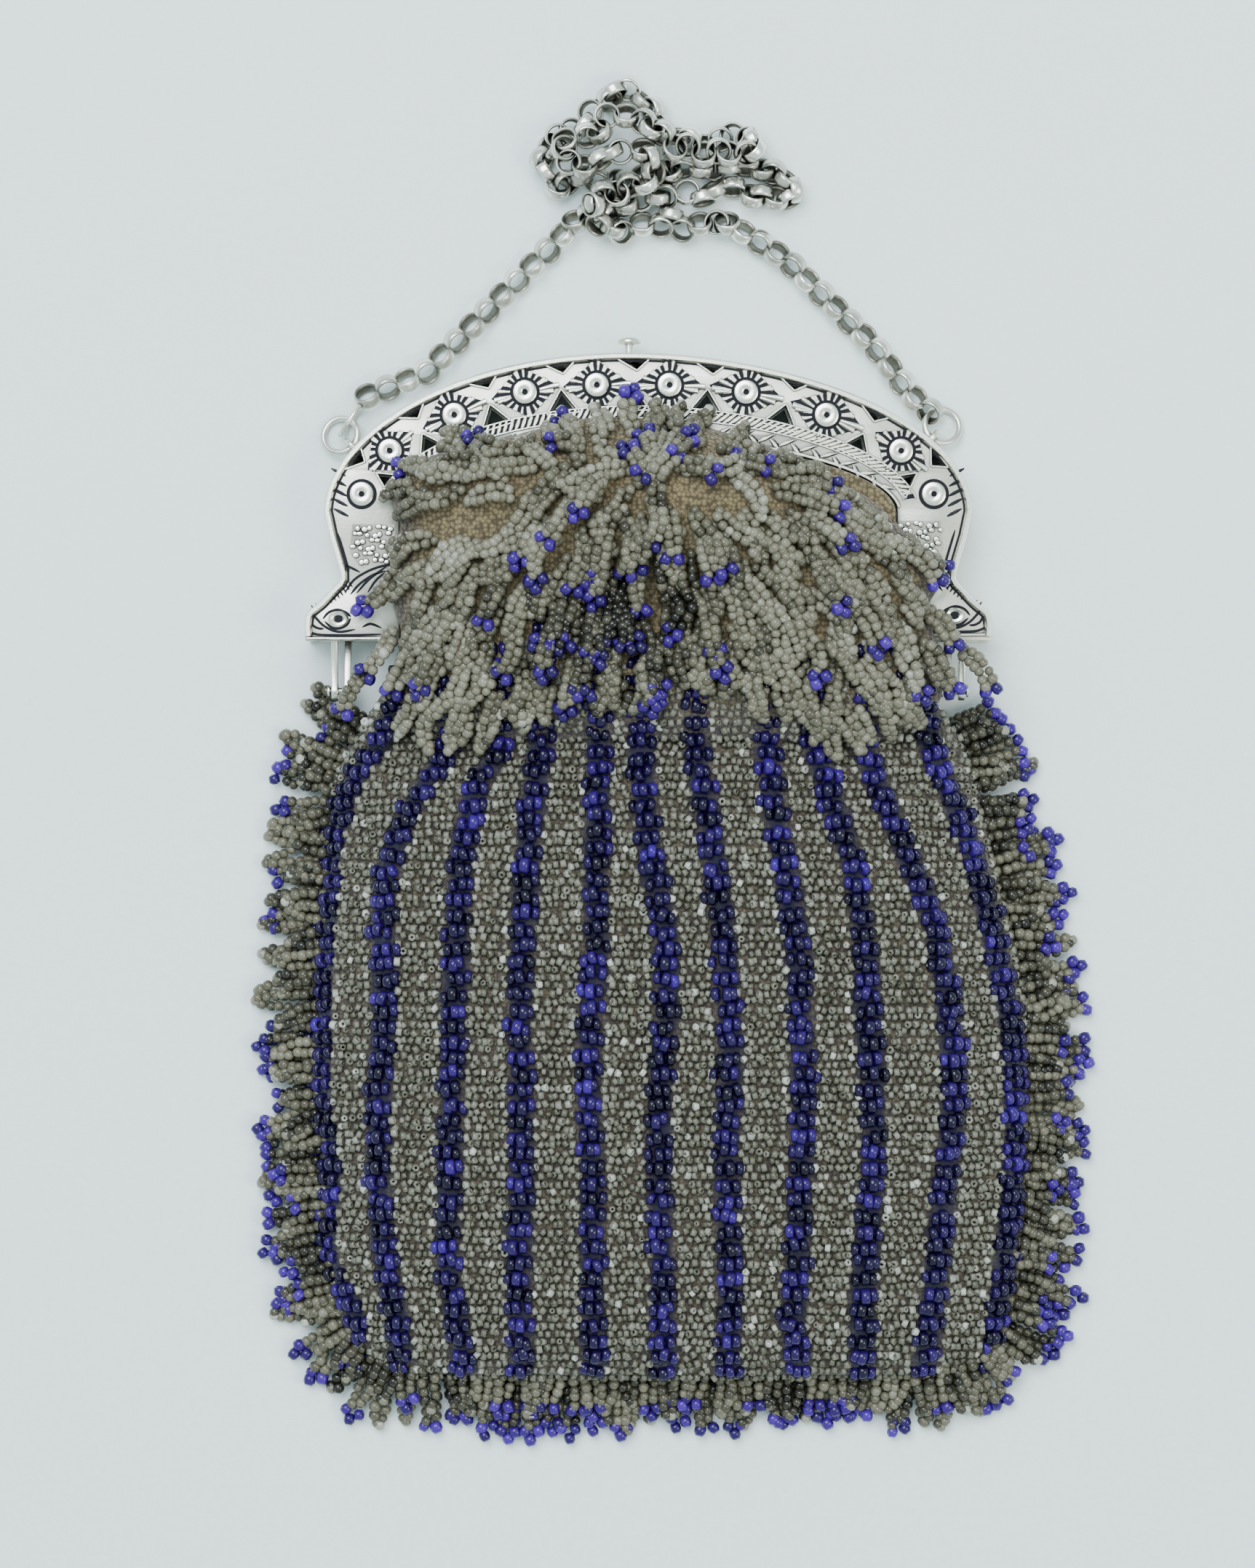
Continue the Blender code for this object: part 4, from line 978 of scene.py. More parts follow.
    def scales(self, shells: Shells, side: int) -> None:
        """Small raised scales and the slanted fan beside the last daisy.

        Args:
            shells: where they go.
            side: -1 for the left arm, 1 for the right one.
        """
        eye = np.array(HEAD_EYES[side]) * MM
        scale = [(0, 0.34), (0.34, 0.3), (0.5, 0.08), (0.5, -0.1), (0, -0.1)]
        corners = np.array([(-2.0, 13.6), (-8.0, 13.6), (-8.0, 8.4), (-3.2, 7.4), (-1.6, 9.5)])
        self.ground(shells, corners * MM * (side, 1) + eye, 0.4)
        across, down = self.scale_pitch
        for row in range(6):
            for column in range(7):
                x = 2.2 + column * across + (row % 2) * across / 2
                y = 8.3 + row * down
                if x < 8.0 and y > 10.6 - 0.75 * x:
                    drift = np.array([math.sin(row * 5.1 + column * 2.3), math.sin(row * 3.7 + column * 4.9)])
                    place = np.array([-side * x * MM, y * MM]) + eye + drift * 0.2 * MM
                    wide = 1.0 + 0.15 * math.sin(row + column * 3.3)
                    high = 0.85 + 0.15 * math.sin(row * 2.7 + column)
                    self.stud(shells, scale, 8, place, 1.0, (wide, high))
        daisy = OUTLINE.daisy_places()[0 if side < 0 else -1]
        for k in range(5):
            start = daisy + np.array([side * (2.3 - 0.1 * k), 2.6 - 1.45 * k]) * MM
            path = np.linspace(start, start + np.array([side * 2.1, 1.1]) * MM, 4)
            self.line(shells, path, 0.3 * MM, 0.1)

    def head(self, shells: Shells, side: int) -> None:
        """Head at an arm's end: eye, mouth lines, crest and base bar.

        Args:
            shells: where it goes.
            side: -1 for the left head, 1 for the right one.
        """
        eye = np.array(HEAD_EYES[side]) * MM
        flip = np.array([-side, 1])
        ring = [(0, 0.1), (0.55, 0.1), (0.66, 0.3), (1.05, 0.42), (1.3, 0.22), (1.34, -0.1), (0, -0.1)]
        self.stud(shells, ring, 20, eye, 1.0, (1.12, 0.88))
        self.stud(shells, [(0, 0.15), (0.58, 0.14), (0.58, -0.1), (0, -0.1)], 14, eye, 0.0)
        for path in HEAD_LINES:
            self.line(shells, smooth_curve(np.array(path) * MM * flip + eye, 3), 0.19 * MM)
        for k in range(self.crest_lines):
            share = k / (self.crest_lines - 1)
            bend = np.array([0.35, -0.25]) * math.sin(share * 3.14)
            root = np.array([-3.4 + 5.4 * share, 1.15 + 3.4 * share]) + bend
            path = np.linspace(root, root + np.array([-0.55, 0.85]), 4) * MM * flip + eye
            self.line(shells, path, 0.15 * MM)
        base = np.array([(-4.6, -2.75), (1.0, -2.8), (7.2, -2.75)]) * MM * flip + eye
        self.bar(shells, smooth_curve(base, 4), 0.26 * MM, 0.4 * MM)

    def front(self) -> None:
        """Front half with all its cast relief."""
        shells = Shells()
        low = self.depth - self.plate
        self.band(shells, low, self.depth - self.half_depth, low + 0.3 * MM)
        self.legs(shells, True)
        self.rims(shells)
        self.hatching(shells)
        places = OUTLINE.daisy_places()
        for index in range(len(places)):
            self.daisy(shells, places, index)
        for side in (-1, 1):
            self.scales(shells, side)
            self.head(shells, side)
        obj = shells.build("front_half", self.finish.make("oxidised_silver_front"), 40)
        dress(obj, Body.BAG, Slot.SILVER, "front_frame")

    def pins(self) -> None:
        """Riveted hinge pins through the legs' eyes."""
        for name, side in (("left", -1), ("right", 1)):
            shells = Shells()
            inner = self.leg_out - self.leg_spacing - self.leg_thickness
            low = inner - 0.7 * MM
            high = self.leg_out + self.leg_thickness + 0.7 * MM
            head, radius, cap = 0.9 * MM, self.pin_radius, 0.4 * MM
            profile = [
                (0, high), (head * 0.6, high - 0.04 * MM), (head, high - cap * 0.5), (head, high - cap),
                (radius, high - cap), (radius, low + cap), (head, low + cap), (head, low + cap * 0.5),
                (head * 0.6, low + 0.04 * MM), (0, low),
            ]
            turned = np.array([[0, 0, side], [0, 1, 0], [-side, 0, 0]])
            shells.add(*moved(lathe(profile, 20), turned, (0, self.hinge_y, self.depth / 2)), 0.85)
            obj = shells.build(f"rivet_{name}", self.finish.make(f"oxidised_silver_pin_{name}"), 40)
            dress(obj, Body.BAG, Slot.SILVER, f"hinge_pin_{name}")

    def button(self) -> None:
        """Turned press button with its stem and inner collar."""
        shells = Shells()
        x, y = OUTLINE.arch(np.array([90.0]), 0.0, 0.0)[0]
        knob = [(0, 2.6), (0.8, 2.57), (1.3, 2.47), (1.62, 2.3), (1.75, 2.1), (1.75, 1.85)]
        stem = [(1.6, 1.68), (1.45, 1.6), (0.65, 1.6), (0.65, -1.5), (1.3, -1.5), (1.3, -2.3), (0, -2.3)]
        turned = np.array([[1, 0, 0], [0, 0, 1], [0, -1, 0]])
        shells.add(*moved(lathe(np.array(knob + stem) * MM, 32), turned, (x, y, self.depth / 2)), 0.95)
        obj = shells.build("press_button", self.finish.make("oxidised_silver_button"), 35)
        dress(obj, Body.BUTTON, Slot.SILVER, "clasp_button")


def lug_place(degrees: float) -> tuple[Array, Array]:
    """Centre of a lug's loop and its outward direction.

    Args:
        degrees: the lug's angle on the arch.

    Returns:
        The centre in 3-D and the direction.
    """
    out = OUTLINE.normal(degrees)
    place = OUTLINE.arch(np.array([degrees]), 0.0, 0.0)[0]
    return np.array([*place, 2.4 * MM]) + out * 0.75 * MM, out


# Routes of the chain in millimetres, each point given one by one; the heap adds its layer
LEFT_RUN = ((-40.7, 17.2), (-32.3, 20.6), (-25.5, 27.4), (-19.9, 33.1), (-14.2, 38.7), (-10.9, 42.2))
RIGHT_RUN = ((40.9, 15.0), (38.2, 17.3), (33.1, 24.1), (26.4, 30.8), (20.7, 36.4), (15.1, 40.2), (11.8, 42.1))
HEAP_ROUTE = (
    (-10.9, 42.2, 0.0), (-7.8, 43.9, 0.0), (-4.4, 45.1, 0.0), (-1.1, 45.8, 0.0), (2.3, 46.2, 0.0),
    (5.7, 46.2, 0.0), (9.4, 46.2, 0.0), (12.8, 46.7, 0.0), (16.4, 46.1, 0.0), (19.8, 45.5, 0.0),
    (21.9, 47.1, 0.0), (19.5, 49.0, 0.0), (16.1, 49.9, 0.0), (12.7, 50.5, 0.0), (9.4, 50.1, 0.0),
    (6.0, 50.1, 0.0), (2.6, 50.1, 0.0), (-0.8, 49.3, 0.0), (-3.8, 48.2, 0.0), (-7.5, 48.6, 0.0),
    (-11.0, 47.9, 0.0), (-14.1, 48.4, 0.0), (-15.6, 50.8, 0.0), (-14.8, 53.1, 0.0), (-12.4, 55.6, 0.0),
    (-8.8, 57.1, 0.0), (-6.3, 59.9, 0.0), (-2.9, 61.9, 0.0), (-0.1, 60.2, 0.0), (1.4, 57.1, 0.0),
    (3.2, 54.4, 0.0), (6.6, 54.0, 0.0), (10.0, 54.2, 0.0), (13.3, 54.9, 0.1), (16.0, 53.8, 0.67),
    (13.6, 51.0, 1.0), (10.5, 51.9, 1.0), (6.6, 51.9, 1.0), (3.5, 52.8, 1.0), (1.1, 55.0, 1.0),
    (-1.4, 57.1, 0.95), (-4.8, 57.2, 0.76), (-7.8, 55.2, 0.76), (-11.2, 54.0, 0.9), (-12.3, 51.3, 1.0),
    (-9.4, 50.0, 1.0), (-6.3, 51.6, 0.95), (-2.9, 52.5, 0.9), (0.2, 51.2, 1.0), (0.8, 48.0, 1.0),
    (-2.3, 46.7, 1.0), (-5.7, 46.7, 1.0), (-8.1, 44.8, 1.0), (-6.9, 42.0, 0.67), (-4.1, 41.3, 0.1),
    (-1.5, 42.0, 0.0), (1.7, 42.2, 0.0), (5.2, 41.8, 0.0), (8.3, 42.2, 0.0), (11.8, 42.1, 0.0),

)


@dataclass
class Chain:
    """Belcher chain between two shoulder rings, most of it heaped above the frame."""

    link_radius: float = 1.95 * MM
    link_hole: float = 1.42 * MM
    link_width: float = 1.75 * MM
    pitch: float = 3.0 * MM
    heap_pitch: float = 2.15 * MM
    link_height: float = 2.0 * MM
    layer: float = 4.2 * MM
    ring_radius: float = 2.62 * MM
    ring_wire: float = 0.475 * MM
    jump_length: float = 3.1 * MM
    jump_height: float = 2.1 * MM
    finish: OxidisedSilver = field(default_factory=lambda: OxidisedSilver("#F4F2EA", "#908E83", "#1D1C1A"))

    def ring_place(self, side: str) -> tuple[Array, Array]:
        """Centre and turn of a shoulder ring, which leans from its lug to the table.

        Args:
            side: which shoulder.

        Returns:
            The centre and the ring's 3 by 3 matrix.
        """
        lug, out = lug_place(LUG_DEGREES[side])
        tilt = math.asin((lug[2] - self.ring_wire) / (2 * self.ring_radius))
        down = out * math.cos(tilt) - np.array([0, 0, math.sin(tilt)])
        tangent = np.array([-out[1], out[0], 0])
        return lug + down * self.ring_radius, np.stack([np.cross(down, tangent), down, tangent], axis=1)

    def rings(self) -> None:
        """Round wire rings in both lugs."""
        outer, inner = self.ring_radius + self.ring_wire, self.ring_radius - self.ring_wire
        shape = ring_shape(outer, inner, 2 * self.ring_wire, 40, 12)
        for side in LUG_DEGREES:
            centre, turn = self.ring_place(side)
            shells = Shells()
            shells.add(*moved(shape, turn, centre), 0.85)
            obj = shells.build(f"shoulder_ring_{side}", self.finish.make(f"ring_silver_{side}"))
            dress(obj, Body.BAG, Slot.CHAIN, f"ring_{side}")

    def links(self, shells: Shells, path: Array, rng: np.random.Generator, loose: float) -> None:
        """Links along a path, rolled by turns to either side.

        Args:
            shells: where they go.
            path: 3-D places of the links.
            rng: source of the small differences between links.
            loose: how freely they lie, in radians.
        """
        count = len(path)
        heading = unit(np.gradient(path, axis=0) * (1, 1, 0.6) + rng.normal(0, loose * 0.0006, (count, 3)))
        side = unit(np.cross(heading, (0.0, 0.0, 1.0)))
        roll = np.radians(45) * np.where(np.arange(count) % 2, 1, -1) + rng.normal(0, loose, count)
        axis = side * np.cos(roll)[:, None] + np.cross(side, heading) * np.sin(roll)[:, None]
        shape = ring_shape(self.link_radius, self.link_hole, self.link_width, 20, 8, 0.75)
        reach = np.hypot(shape[0][:, 1], shape[0][:, 2])
        profile = 0.5 + 0.5 * smoothstep(self.link_hole, self.link_radius, reach)
        shells.stamp(shape, turns_of(axis, heading), path, rng.uniform(0.7, 1.0, count), profile)

    def run(self, name: str, route: tuple[Point, ...], rng: np.random.Generator) -> None:
        """Straight length of chain from one ring to the heap.

        Args:
            name: which side.
            route: its plan places in millimetres.
            rng: source of the small differences between links.
        """
        path = np.array([(*place, self.link_height / MM) for place in route]) * MM
        lengths = np.linalg.norm(np.diff(path, axis=0), axis=1)
        last = lengths.sum() - self.link_radius - 0.3 * MM
        wanted = np.linspace(0, last, round(last / self.pitch) + 1)
        reached = np.concatenate([[0], np.cumsum(lengths)])
        places = np.stack([np.interp(wanted, reached, column) for column in path.T], axis=1)
        shells = Shells()
        self.links(shells, places, rng, 0.05)
        if name == "left":
            self.jump_ring(shells)
        obj = shells.build(f"belcher_chain_{name}", self.finish.make(f"chain_silver_{name}"))
        dress(obj, Body.BAG, Slot.CHAIN, f"chain_{name}")

    def jump_ring(self, shells: Shells) -> None:
        """Oval ring on edge between the left shoulder ring and the chain."""
        start = np.array([*LEFT_RUN[0], 0]) * MM
        ring = self.ring_place("left")[0] * (1, 1, 0)
        outward = unit(start - ring)
        held = ring + outward * self.ring_radius
        reach = start - outward * self.link_hole
        along = unit(reach - held)
        centre = reach - along * 2.75 * MM + np.array([0, 0, self.jump_height])
        points, faces = ring_shape(self.jump_height, self.jump_height - 0.7 * MM, 0.7 * MM, 28, 10)
        points = points * (1, 1, self.jump_length / self.jump_height)
        turn = turns_of(np.cross(along, (0, 0, 1.0))[None], along[None])[0]
        shells.add(*moved((points, faces), turn, centre), 0.85)

    def heap(self, rng: np.random.Generator) -> None:
        """Heaped length of the chain in two layers."""
        route = np.array(HEAP_ROUTE) * (MM, MM, self.layer) + (0, 0, 2.15 * MM)
        shells = Shells()
        path = resample(smooth_curve(route, 6), self.heap_pitch)
        path[:, :2] += rng.normal(0, 0.45 * MM, (len(path), 2))
        self.links(shells, path, rng, 0.38)
        obj = shells.build("belcher_chain_heap", self.finish.make("chain_silver_heap"))
        dress(obj, Body.BAG, Slot.CHAIN, "chain_heap")


# Pouch sections: down, left and right shares, height share, gather
BODY_ROWS = np.array([
    (0.0, 0.70, 0.70, 0.78, 1.0), (0.05, 0.735, 0.755, 0.84, 1.0), (0.10, 0.80, 0.85, 0.90, 0.9),
    (0.15, 0.865, 0.915, 0.95, 0.7), (0.2, 0.905, 0.942, 0.98, 0.5), (0.306, 0.92, 0.992, 1.0, 0.3),
    (0.414, 0.937, 1.045, 1.0, 0.2), (0.54, 0.949, 1.082, 0.98, 0.2), (0.7, 0.937, 1.08, 0.93, 0.2),
    (0.84, 0.925, 1.06, 0.85, 0.2), (0.928, 0.88, 1.033, 0.72, 0.2), (0.975, 0.80, 0.97, 0.58, 0.2),
    (1.0, 0.70, 0.86, 0.42, 0.1),

])
# Puffed top: down, left and right shares, height share
YOKE_ROWS = np.array([
    (0.0, 0.24, 0.08, 0.62), (0.055, 0.50, 0.325, 0.74), (0.11, 0.76, 0.49, 0.83),
    (0.18, 0.885, 0.65, 0.90), (0.26, 0.917, 0.82, 0.95), (0.34, 0.89, 0.905, 0.98),
    (0.49, 0.93, 1.045, 1.0), (0.6, 0.905, 1.0, 0.98), (0.735, 0.87, 1.05, 0.92),
    (0.87, 0.9, 1.05, 0.84), (0.94, 0.84, 0.96, 0.77), (1.0, 0.725, 0.85, 0.68),

])
# Lowest ends of the loops of the puffed top, in millimetres, from left to right
YOKE_HEM = np.array([
    (-46.0, -26.0), (-38.0, -31.0), (-34.6, -33.0), (-27.5, -34.6), (-21.0, -32.4), (-15.4, -30.1),
    (-8.6, -28.4), (-3.0, -28.2), (1.5, -27.0), (6.0, -24.0), (9.0, -25.0), (13.0, -28.0),
    (19.6, -30.5), (25.2, -33.5), (28.6, -34.6), (33.0, -32.0), (42.0, -31.0), (50.0, -26.0),

])
# Stripes in millimetres: each row is a level and the places of the eleven stripes there
STRIPES = np.array([
    (-19.0, -33.5, -27.0, -20.5, -15.0, -6.9, -1.6, 6.2, 16.0, 22.0, 28.5, 34.5),
    (-27.9, -36.2, -28.4, -21.0, -15.4, -6.9, -1.3, 6.7, 16.8, 23.0, 30.9, 39.9),
    (-33.5, -38.7, -28.4, -21.0, -15.4, -7.0, -1.0, 7.0, 16.9, 23.7, 30.9, 40.3),
    (-39.1, -42.8, -32.0, -24.4, -16.1, -7.3, -0.7, 7.6, 17.6, 25.6, 32.9, 42.7),
    (-44.8, -44.7, -35.1, -25.8, -16.8, -7.3, 0.0, 8.6, 18.5, 27.4, 35.2, 45.2),
    (-50.4, -46.1, -37.1, -26.8, -17.4, -7.4, 0.6, 9.4, 19.6, 29.2, 37.6, 47.1),
    (-56.1, -46.5, -37.9, -27.1, -17.6, -7.4, 1.5, 10.0, 20.4, 30.0, 40.0, 48.4),
    (-61.7, -47.0, -37.9, -27.3, -17.9, -7.5, 2.3, 10.6, 21.3, 30.9, 41.6, 49.8),
    (-73.0, -47.5, -37.9, -27.8, -18.5, -8.1, 2.5, 11.4, 21.8, 31.4, 43.3, 52.1),
    (-84.2, -47.5, -38.7, -28.1, -18.2, -8.7, 1.5, 11.4, 22.1, 32.2, 43.8, 53.0),
    (-95.5, -46.1, -38.7, -28.4, -18.2, -7.9, 1.5, 11.2, 21.6, 32.0, 42.7, 52.8),
    (-106.8, -46.7, -37.9, -28.8, -18.5, -7.9, 2.1, 11.4, 21.3, 31.2, 41.6, 51.7),
    (-115.8, -42.6, -36.1, -27.5, -18.3, -8.0, 2.1, 11.5, 20.7, 30.7, 40.7, 50.6),
    (-122.6, -42.5, -35.7, -26.7, -18.2, -7.9, 2.1, 11.5, 21.4, 30.8, 39.9, 50.0),
])


@dataclass(frozen=True)
class PouchForm:
    """Heights and edges of the knitted pouch and of its puffed top."""

    top: float = -18.9 * MM
    drop: float = 105.6 * MM
    half_width: float = 51.0 * MM
    height: float = 15.0 * MM
    side: float = 3.0 * MM
    rib: float = 0.6 * MM
    gather: float = 1.5 * MM
    yoke_top: float = 13.3 * MM
    yoke_length: float = 46.0 * MM
    yoke_half: float = 40.0 * MM
    yoke_height: float = 20.0 * MM
    underside: float = 10.8 * MM

    def bottom(self) -> float:
        """Level along Y of the pouch's lower edge."""
        return self.top - self.drop

    def columns(self, rows: Array, down: Array) -> Array:
        """Values of a table of sections at shares of the way down, read smoothly."""
        fine = smooth_curve(rows, 6)
        return np.stack([np.interp(down, fine[:, 0], fine[:, k]) for k in range(1, rows.shape[1])])

    def body(self, y: Array) -> Array:
        """Left edge, right edge, height and gather of the pouch at places along Y."""
        left, right, high, gather = self.columns(BODY_ROWS, (self.top - y) / self.drop)
        return np.stack([-left * self.half_width, right * self.half_width, high * self.height, gather])

    def stripes(self, y: Array) -> Array:
        """Places of the stripes, one row for each place along Y."""
        levels = smooth_curve(STRIPES[::-1], 6) * MM
        return np.stack([np.interp(y, levels[:, 0], levels[:, k]) for k in range(1, STRIPES.shape[1])], axis=-1)

    def level(self, x: Array, y: Array) -> Array:
        """Height of the pouch's upper side, with its ribs and gathers."""
        left, right, high, gather = self.body(y)
        share = np.clip(2 * (x - left) / (right - left) - 1, -1, 1)
        soft = (1 - np.abs(share) ** 3) ** 0.6
        spots = self.stripes(y)
        after = np.clip((spots < x[..., None]).sum(axis=-1), 1, spots.shape[-1] - 1)[..., None]
        low = np.take_along_axis(spots, after - 1, -1)[..., 0]
        high_spot = np.take_along_axis(spots, after, -1)[..., 0]
        between = np.clip((x - low) / (high_spot - low), 0, 1)
        depth = (self.rib + gather * self.gather) * soft
        return self.side + (high - self.side) * soft + self.rib * soft - depth * np.sin(np.pi * between) ** 1.5

    def yoke_edges(self, y: Array) -> Array:
        """Left edge, right edge and height of the puffed top at places along Y."""
        left, right, high = self.columns(YOKE_ROWS, (self.yoke_top - y) / self.yoke_length)
        return np.stack([-left * self.yoke_half, right * self.yoke_half, high * self.yoke_height])

    def yoke_level(self, x: Array, y: Array) -> Array:
        """Height of the puffed top, with its roll and its hollow."""
        left, right, high = self.yoke_edges(y)
        share = np.clip(2 * (x - left) / (right - left) - 1, -1, 1)
        soft = (1 - np.abs(share) ** 3) ** 0.6
        inside = (y < self.yoke_top) & (y > self.yoke_top - self.yoke_length)
        roll = 1.2 * np.exp(-(((y / MM - 4.5) / 4.5) ** 2))
        hollow = -4.2 * np.exp(-((((x / MM + 3) / 13) ** 2) + ((y / MM + 13) / 6) ** 2))
        waves = 0.45 * np.sin(x / MM * 0.52 + y / MM * 0.13) * np.sin(y / MM * 0.31 + 1)
        wanted = self.underside + (high - self.underside) * soft + (roll + hollow + waves) * MM * soft
        return np.where(inside, wanted, 0.0)

    def rest(self, x: Array, y: Array) -> Array:
        """Height on which a loop of the puffed top comes to rest."""
        body = np.where((y < self.top + 3 * MM), self.level(x, np.minimum(y, self.top)), 0.0)
        over_frame = np.where((y > self.top) & (np.abs(x) < OUTLINE.half_width), 10.2 * MM, 1.0 * MM)
        left, right, _ = self.yoke_edges(y)
        outside = np.maximum(np.maximum(left - x, x - right), 0.0)
        outside = np.maximum(outside, np.maximum(y - self.yoke_top, self.yoke_top - self.yoke_length - y))
        yoke = self.yoke_level(x, y)
        return np.maximum(np.maximum(body, over_frame), yoke - outside * 0.3)


class BeadPile:
    """Beads of one kind, gathered before they are made."""

    def __init__(self) -> None:
        """Start with no bead."""
        self.rows: list[Array] = []

    def put(self, centres: Array, along: Array, sizes: Array | float, tones: Array | float) -> None:
        """Add beads.

        Args:
            centres: one place for each bead.
            along: direction of each bead's hole.
            sizes: scale of each bead.
            tones: shade of each bead.
        """
        centres = np.atleast_2d(centres)
        row = np.empty((len(centres), 8))
        row[:, :3] = centres
        row[:, 3:6] = along
        row[:, 6] = sizes
        row[:, 7] = tones
        self.rows.append(row)

    def make(self, name: str, shape: Shape, material: bpy.types.Material, *nodes: str) -> None:
        """Make one piece of all the beads.

        Args:
            name: the piece's name.
            shape: one bead, with its hole along X.
            material: its glass.
            nodes: the CAD nodes that it stands for.
        """
        table = np.concatenate(self.rows)
        turns = turns_of(table[:, 3:6], np.tile((0.02, 0.05, 1.0), (len(table), 1))) * table[:, 6, None, None]
        shells = Shells()
        shells.stamp(shape, turns, table[:, :3], table[:, 7])
        dress(shells.build(name, material), Body.BAG, Slot.GLASS, *nodes)


@dataclass
class KnitPouch:
    """Knitted thread body of the bag, its neck in the frame and its puffed top."""

    form: PouchForm = field(default_factory=PouchForm)
    under_beads: float = 0.55 * MM
    # Points of a section along the upper side and the underside
    body_points: tuple[int, int] = (96, 28)
    yoke_points: tuple[int, int] = (84, 14)
    underside: float = 0.5 * MM
    finish: KnitThread = field(default_factory=KnitThread)

    def body(self, shells: Shells) -> None:
        """Body below the frame, with painted shade under its beads, darkest under the blue stripes."""
        form = self.form
        rows = np.linspace(form.top, form.bottom(), 110)
        above, below = self.body_points
        share = np.sin(np.linspace(-1, 1, above) * np.pi / 2)
        points, tones = [], []
        for y in rows:
            left, right, _, _ = form.body(np.array([y]))[:, 0]
            x = left + (right - left) * (share + 1) / 2
            z = form.level(x, np.full_like(x, y)) - self.under_beads
            nearest = np.abs(form.stripes(np.array([y]))[0][None] - x[:, None]).min(axis=1)
            points.append(np.stack([x, np.full_like(x, y), np.maximum(z, 1.4 * MM)], axis=1))
            # Painted shade: the knit takes half the shadowed colour between the beads and all of it under the blue
            # stripes
            tones.append(1 - 0.5 * smoothstep(1.3 * MM, 2.2 * MM, nearest))
            back = left + (right - left) * (np.linspace(0.99, -0.99, below) + 1) / 2
            level = np.full_like(back, self.underside)
            points.append(np.stack([back, np.full_like(back, y), level], axis=1))
            tones.append(np.zeros(len(back)))
        faces = tube_faces(len(rows), above + below)
        shells.add(np.concatenate(points), faces, np.concatenate(tones))

    def neck(self, shells: Shells) -> None:
        """Part of the pouch that fills the frame's opening."""
        inset = 0.4 * MM
        side = OUTLINE.half_width - OUTLINE.arm - inset
        top = OUTLINE.arch(np.linspace(0, 180, 60), OUTLINE.arm + inset, OUTLINE.band + inset)
        outline = np.concatenate([top, [(-side, -24 * MM), (side, -24 * MM)]])
        shells.add(*plate_shape([outline], 0.65 * MM, 12.2 * MM, 0.4 * MM), 0.0)

    def yoke(self, shells: Shells) -> None:
        """Puffed top that bulges over the frame, with painted shade at its lower edge, its sides and its
        underside.
        """
        form = self.form
        top, trim = form.yoke_top, 0.01 * MM
        rows = np.linspace(top - trim, top - form.yoke_length + trim, 70)
        above, below = self.yoke_points
        share = np.sin(np.linspace(-1, 1, above) * np.pi / 2)
        points, tones = [], []
        for y in rows:
            left, right, _ = form.yoke_edges(np.array([y]))[:, 0]
            x = left + (right - left) * (share + 1) / 2
            z = form.yoke_level(x, np.full_like(x, y))
            points.append(np.stack([x, np.full_like(x, y), z], axis=1))
            # Painted shade: darker towards the lower edge and the sides of the puffed top, and on its underside
            low_edge_shade = smoothstep(-22 * MM, -32 * MM, np.full_like(x, y))
            tones.append(np.maximum(0.7 * low_edge_shade, 0.5 * smoothstep(0.86, 1.0, np.abs(share))))
            tones.append(np.full(below, 0.6))
            under = left + (right - left) * (np.linspace(0.97, -0.97, below) + 1) / 2
            level = np.full_like(under, form.underside - 0.4 * MM)
            points.append(np.stack([under, np.full_like(under, y), level], axis=1))
        faces = tube_faces(len(rows), above + below)
        shells.add(np.concatenate(points), faces, np.concatenate(tones))

    def build(self) -> None:
        """Make the shell of the whole pouch."""
        shells = Shells()
        self.body(shells)
        self.neck(shells)
        self.yoke(shells)
        dress(shells.build("knitted_pouch", self.finish.make("knit_thread")), Body.BAG, Slot.KNIT, "pouch")


